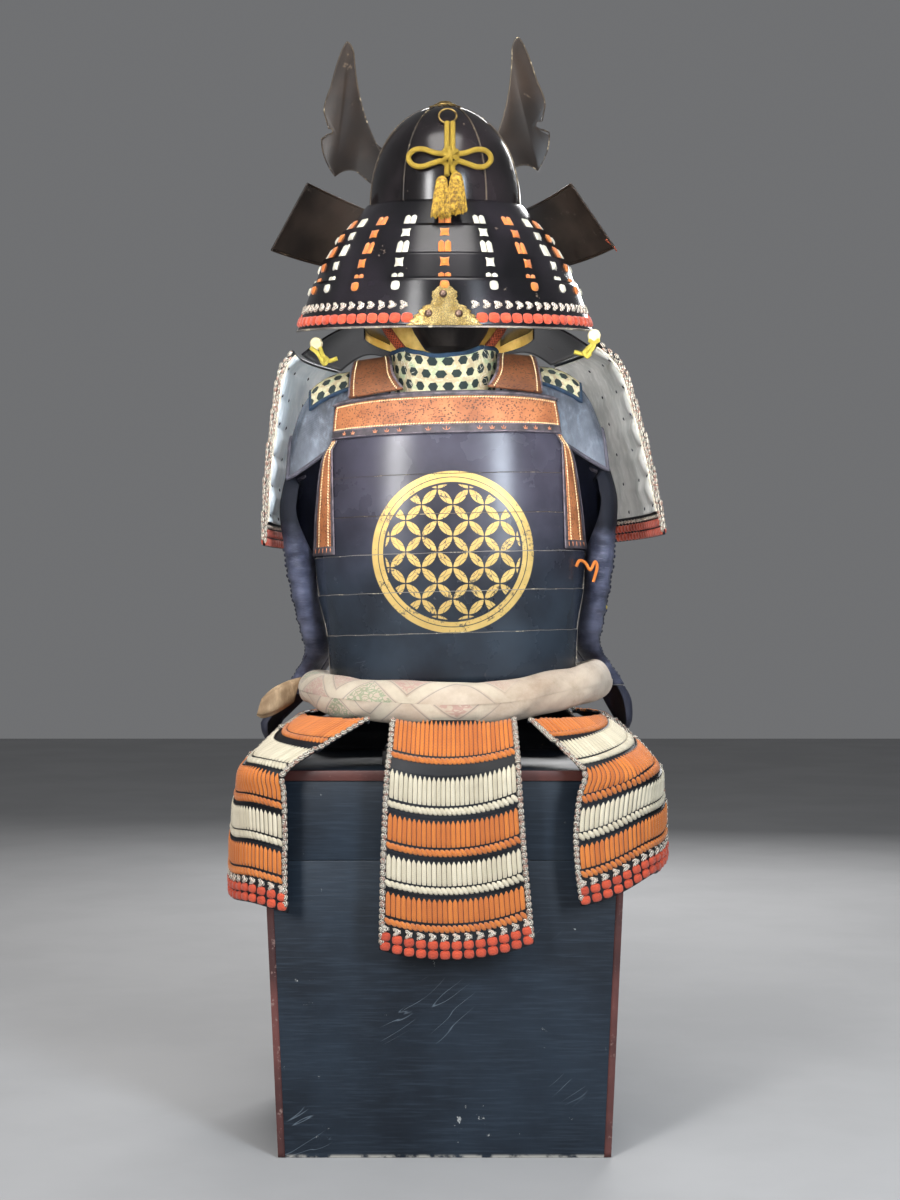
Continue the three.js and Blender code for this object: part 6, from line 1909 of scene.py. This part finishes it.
def build_sash(sizes):
    roll = lambda u, v: sash_point(u, v, sash_swell(u, v))
    for part, low, high, count in (("back", -108, 108, 217), ("front", 108.2, 251.8, 145)):
        piece = shell(f"sash_{part}_made", roll, np.linspace(low, high, count), np.linspace(0, 360, 57),
                      axis(0, 0, 0), ["brocade"], "brocade", [f"sash_{part}"], seam=True, cap=True)

    def end(place, spin):
        row = row_at(SASH_END, place)
        pleats = 1 + 0.1 * np.sin(np.radians(spin * 5)) * np.clip(np.asarray(place) / 2, 0, 1)
        across = row.wide * np.cos(np.radians(spin)) * pleats
        through = row.thick * np.sin(np.radians(spin)) * pleats
        return in_body(points(row.x + across * 0.3, row.y + through, row.z + across * 0.95))

    piece = shell("sash_end_made", end, np.linspace(0, 4, 41), np.linspace(0, 360, 49), axis(0, 0, 0),
                  ["tan_cloth"], "brocade", ["sash_end"], seam=True, cap=True)


# ------------------------------------------------------------------ the stage


CAMERA = SimpleNamespace(place=(0.00725, -2.8, 0.725), lens=57.93, film=36.0, lift=1 / 60)
SKY, SKY_STRENGTH, FLOOR_HALF = (0.62, 0.63, 0.65, 1), 0.26, 9
# Each light: where it is, what it looks at, its width and height, its watts and its tint.
LIGHTS = {
    "key": ((-1.25, -2.6, 1.75), (0, 0, 0.9), (0.5, 1.5), 62, (1, 1, 1)),
    "fill": ((1.35, -2.6, 1.6), (0, 0, 0.9), (0.5, 1.5), 60, (0.8, 0.9, 1)),
    "low": ((0.0, -2.7, 0.8), (0, 0, 1.16), (0.9, 0.35), 2.6, (1, 1, 1)),
    "front": ((0.6, 3.0, 2.2), (0, 0, 0.9), (1.6, 1.2), 80, (1, 1, 1)),
    "top": ((0.0, -1.2, 3.0), (0, 0, 0.8), (1.6, 1.2), 42, (1, 0.98, 0.95)),
}


def soft_light(name, share):
    place, toward, size, watts, tint = LIGHTS[name]
    light = bpy.data.lights.new(name, "AREA")
    light.shape, light.size, light.size_y, light.energy, light.color = "RECTANGLE", *size, watts * share, tint
    lamp = bpy.data.objects.new(name, light)
    lamp.location = place
    lamp.rotation_euler = (Vector(toward) - Vector(place)).to_track_quat("-Z", "Y").to_euler()
    bpy.context.scene.collection.objects.link(lamp)
    return lamp


def build_stage(sizes):
    scene = bpy.context.scene
    view = bpy.data.cameras.new("camera")
    view.lens, view.sensor_width, view.shift_y = CAMERA.lens, CAMERA.film, CAMERA.lift
    camera = bpy.data.objects.new("camera", view)
    camera.location, camera.rotation_euler = CAMERA.place, (np.radians(90), 0, 0)
    scene.collection.objects.link(camera)
    scene.camera = camera

    bm = bmesh.new()
    bmesh.ops.create_grid(bm, x_segments=1, y_segments=1, size=FLOOR_HALF)
    floor = bpy.data.objects.new("floor", mesh_from(bm, "floor", 30))
    floor.data.materials.append(material("floor"))
    scene.collection.objects.link(floor)

    world = bpy.data.worlds.new("studio")
    world.use_nodes = True
    sky = world.node_tree.nodes["Background"].inputs
    sky["Color"].default_value, sky["Strength"].default_value = SKY, SKY_STRENGTH
    scene.world = world
    scene.view_settings.view_transform = "Standard"
    made = {name: soft_light(name, sizes.light) for name in LIGHTS}
    # The low light is weak and seen in no polished plate. It reaches in under the neck guard.
    made["low"].data.spread = np.radians(24)
    made["low"].visible_glossy = False


# ------------------------------------------------------------------ the add-on


def colour_of_piece(name, note, value):
    return bpy.props.FloatVectorProperty(name=name, description=note, default=value, subtype="COLOR", size=3,
                                         min=0, max=1)


class ArmourSizes(bpy.types.PropertyGroup):
    """Sizes and colours that a user may change."""

    board_edge: bpy.props.FloatProperty(name="Board edge",
                                        description="How far the chest's edges are worn round",
                                        default=0.0012, unit="LENGTH")
    light: bpy.props.FloatProperty(name="Light", description="How bright the studio lights are", default=1.0,
                                   min=0.1)
    orange_silk: colour_of_piece("Orange silk", "The orange rows of lacing", (0.8, 0.235, 0.026))
    cream_silk: colour_of_piece("Cream silk", "The cream rows of lacing", (0.86, 0.78, 0.6))
    white_silk: colour_of_piece("White silk", "The white lacing of the neck guard", (0.74, 0.7, 0.58))
    coral_silk: colour_of_piece("Coral silk", "The red lacing along the hems", (0.72, 0.085, 0.025))
    leather: colour_of_piece("Leather", "The stencilled leather bands", (0.45, 0.165, 0.062))
    gold_silk: colour_of_piece("Gold silk", "The helmet's cord and tassels", (0.47, 0.31, 0.03))


PIECES = (
    ("stage", "Stage", "Makes the camera, the lights and the floor.", build_stage),
    ("bow", "Silk cords", "Makes the helmet's bow, its tassels and the chin cords.", build_bow),
    ("chest", "Armour chest", "Makes the chest's boards, moulding and corner strips.", build_chest),
    ("stand", "Stand", "Makes the stand inside the armour.", build_stand),
    ("bowl", "Helmet bowl", "Makes the bowl, its seams and its crown fitting.", build_bowl),
    ("neck_guard", "Neck guard", "Makes the neck guard's lames, lacing and back fitting.", build_neck_guard),
    ("helmet_front", "Helmet front", "Makes the visor and the turned-back wings.", build_helmet_front),
    ("throat_guard", "Throat guard", "Makes the plate before the throat.", build_throat_guard),
    ("horns", "Horns", "Makes the two horns and their bracket.", build_horns),
    ("cuirass", "Cuirass", "Makes the riveted plates with their leather bands, straps and side tie.",
     build_cuirass),
    ("collar", "Quilted collar", "Makes the quilted collar and shoulder pads.", build_collar),
    ("worn_cloth", "Vest and sleeves", "Makes the vest, the sleeves and the hand covers.", build_worn_cloth),
    ("guards", "Shoulder guards", "Makes the laced shoulder guards with their linings and toggles.",
     build_guards),
    ("sash", "Sash", "Makes the rolled brocade sash and its end.", build_sash),
    ("tassets", "Laced skirts", "Makes the seven laced tassets.", build_tassets),
)


def operator_for(key, label, note, build):
    def execute(self, context):
        build(context.scene.samurai_armour)
        return {"FINISHED"}

    facts = {"bl_idname": f"armour.{key}", "bl_label": label, "__doc__": note, "execute": execute}
    return type(f"ARMOUR_OT_{key}", (bpy.types.Operator,), facts)


class ARMOUR_PT_pieces(bpy.types.Panel):
    """Lists the armour's pieces in the sidebar."""

    bl_label = "Samurai armour"
    bl_space_type = "VIEW_3D"
    bl_region_type = "UI"
    bl_category = "Armour"

    def draw(self, context):
        for name in ArmourSizes.__annotations__:
            self.layout.prop(context.scene.samurai_armour, name)
        for key, label, _, _ in PIECES:
            self.layout.operator(f"armour.{key}", text=label)


CLASSES = (ArmourSizes, *(operator_for(*piece) for piece in PIECES), ARMOUR_PT_pieces)


def register():
    for made in CLASSES:
        bpy.utils.register_class(made)
    bpy.types.Scene.samurai_armour = bpy.props.PointerProperty(type=ArmourSizes)


def unregister():
    del bpy.types.Scene.samurai_armour
    for made in reversed(CLASSES):
        bpy.utils.unregister_class(made)


def main():
    register()
    for key, _, _, _ in PIECES:
        getattr(bpy.ops.armour, key)()


if __name__ == "__main__":
    main()
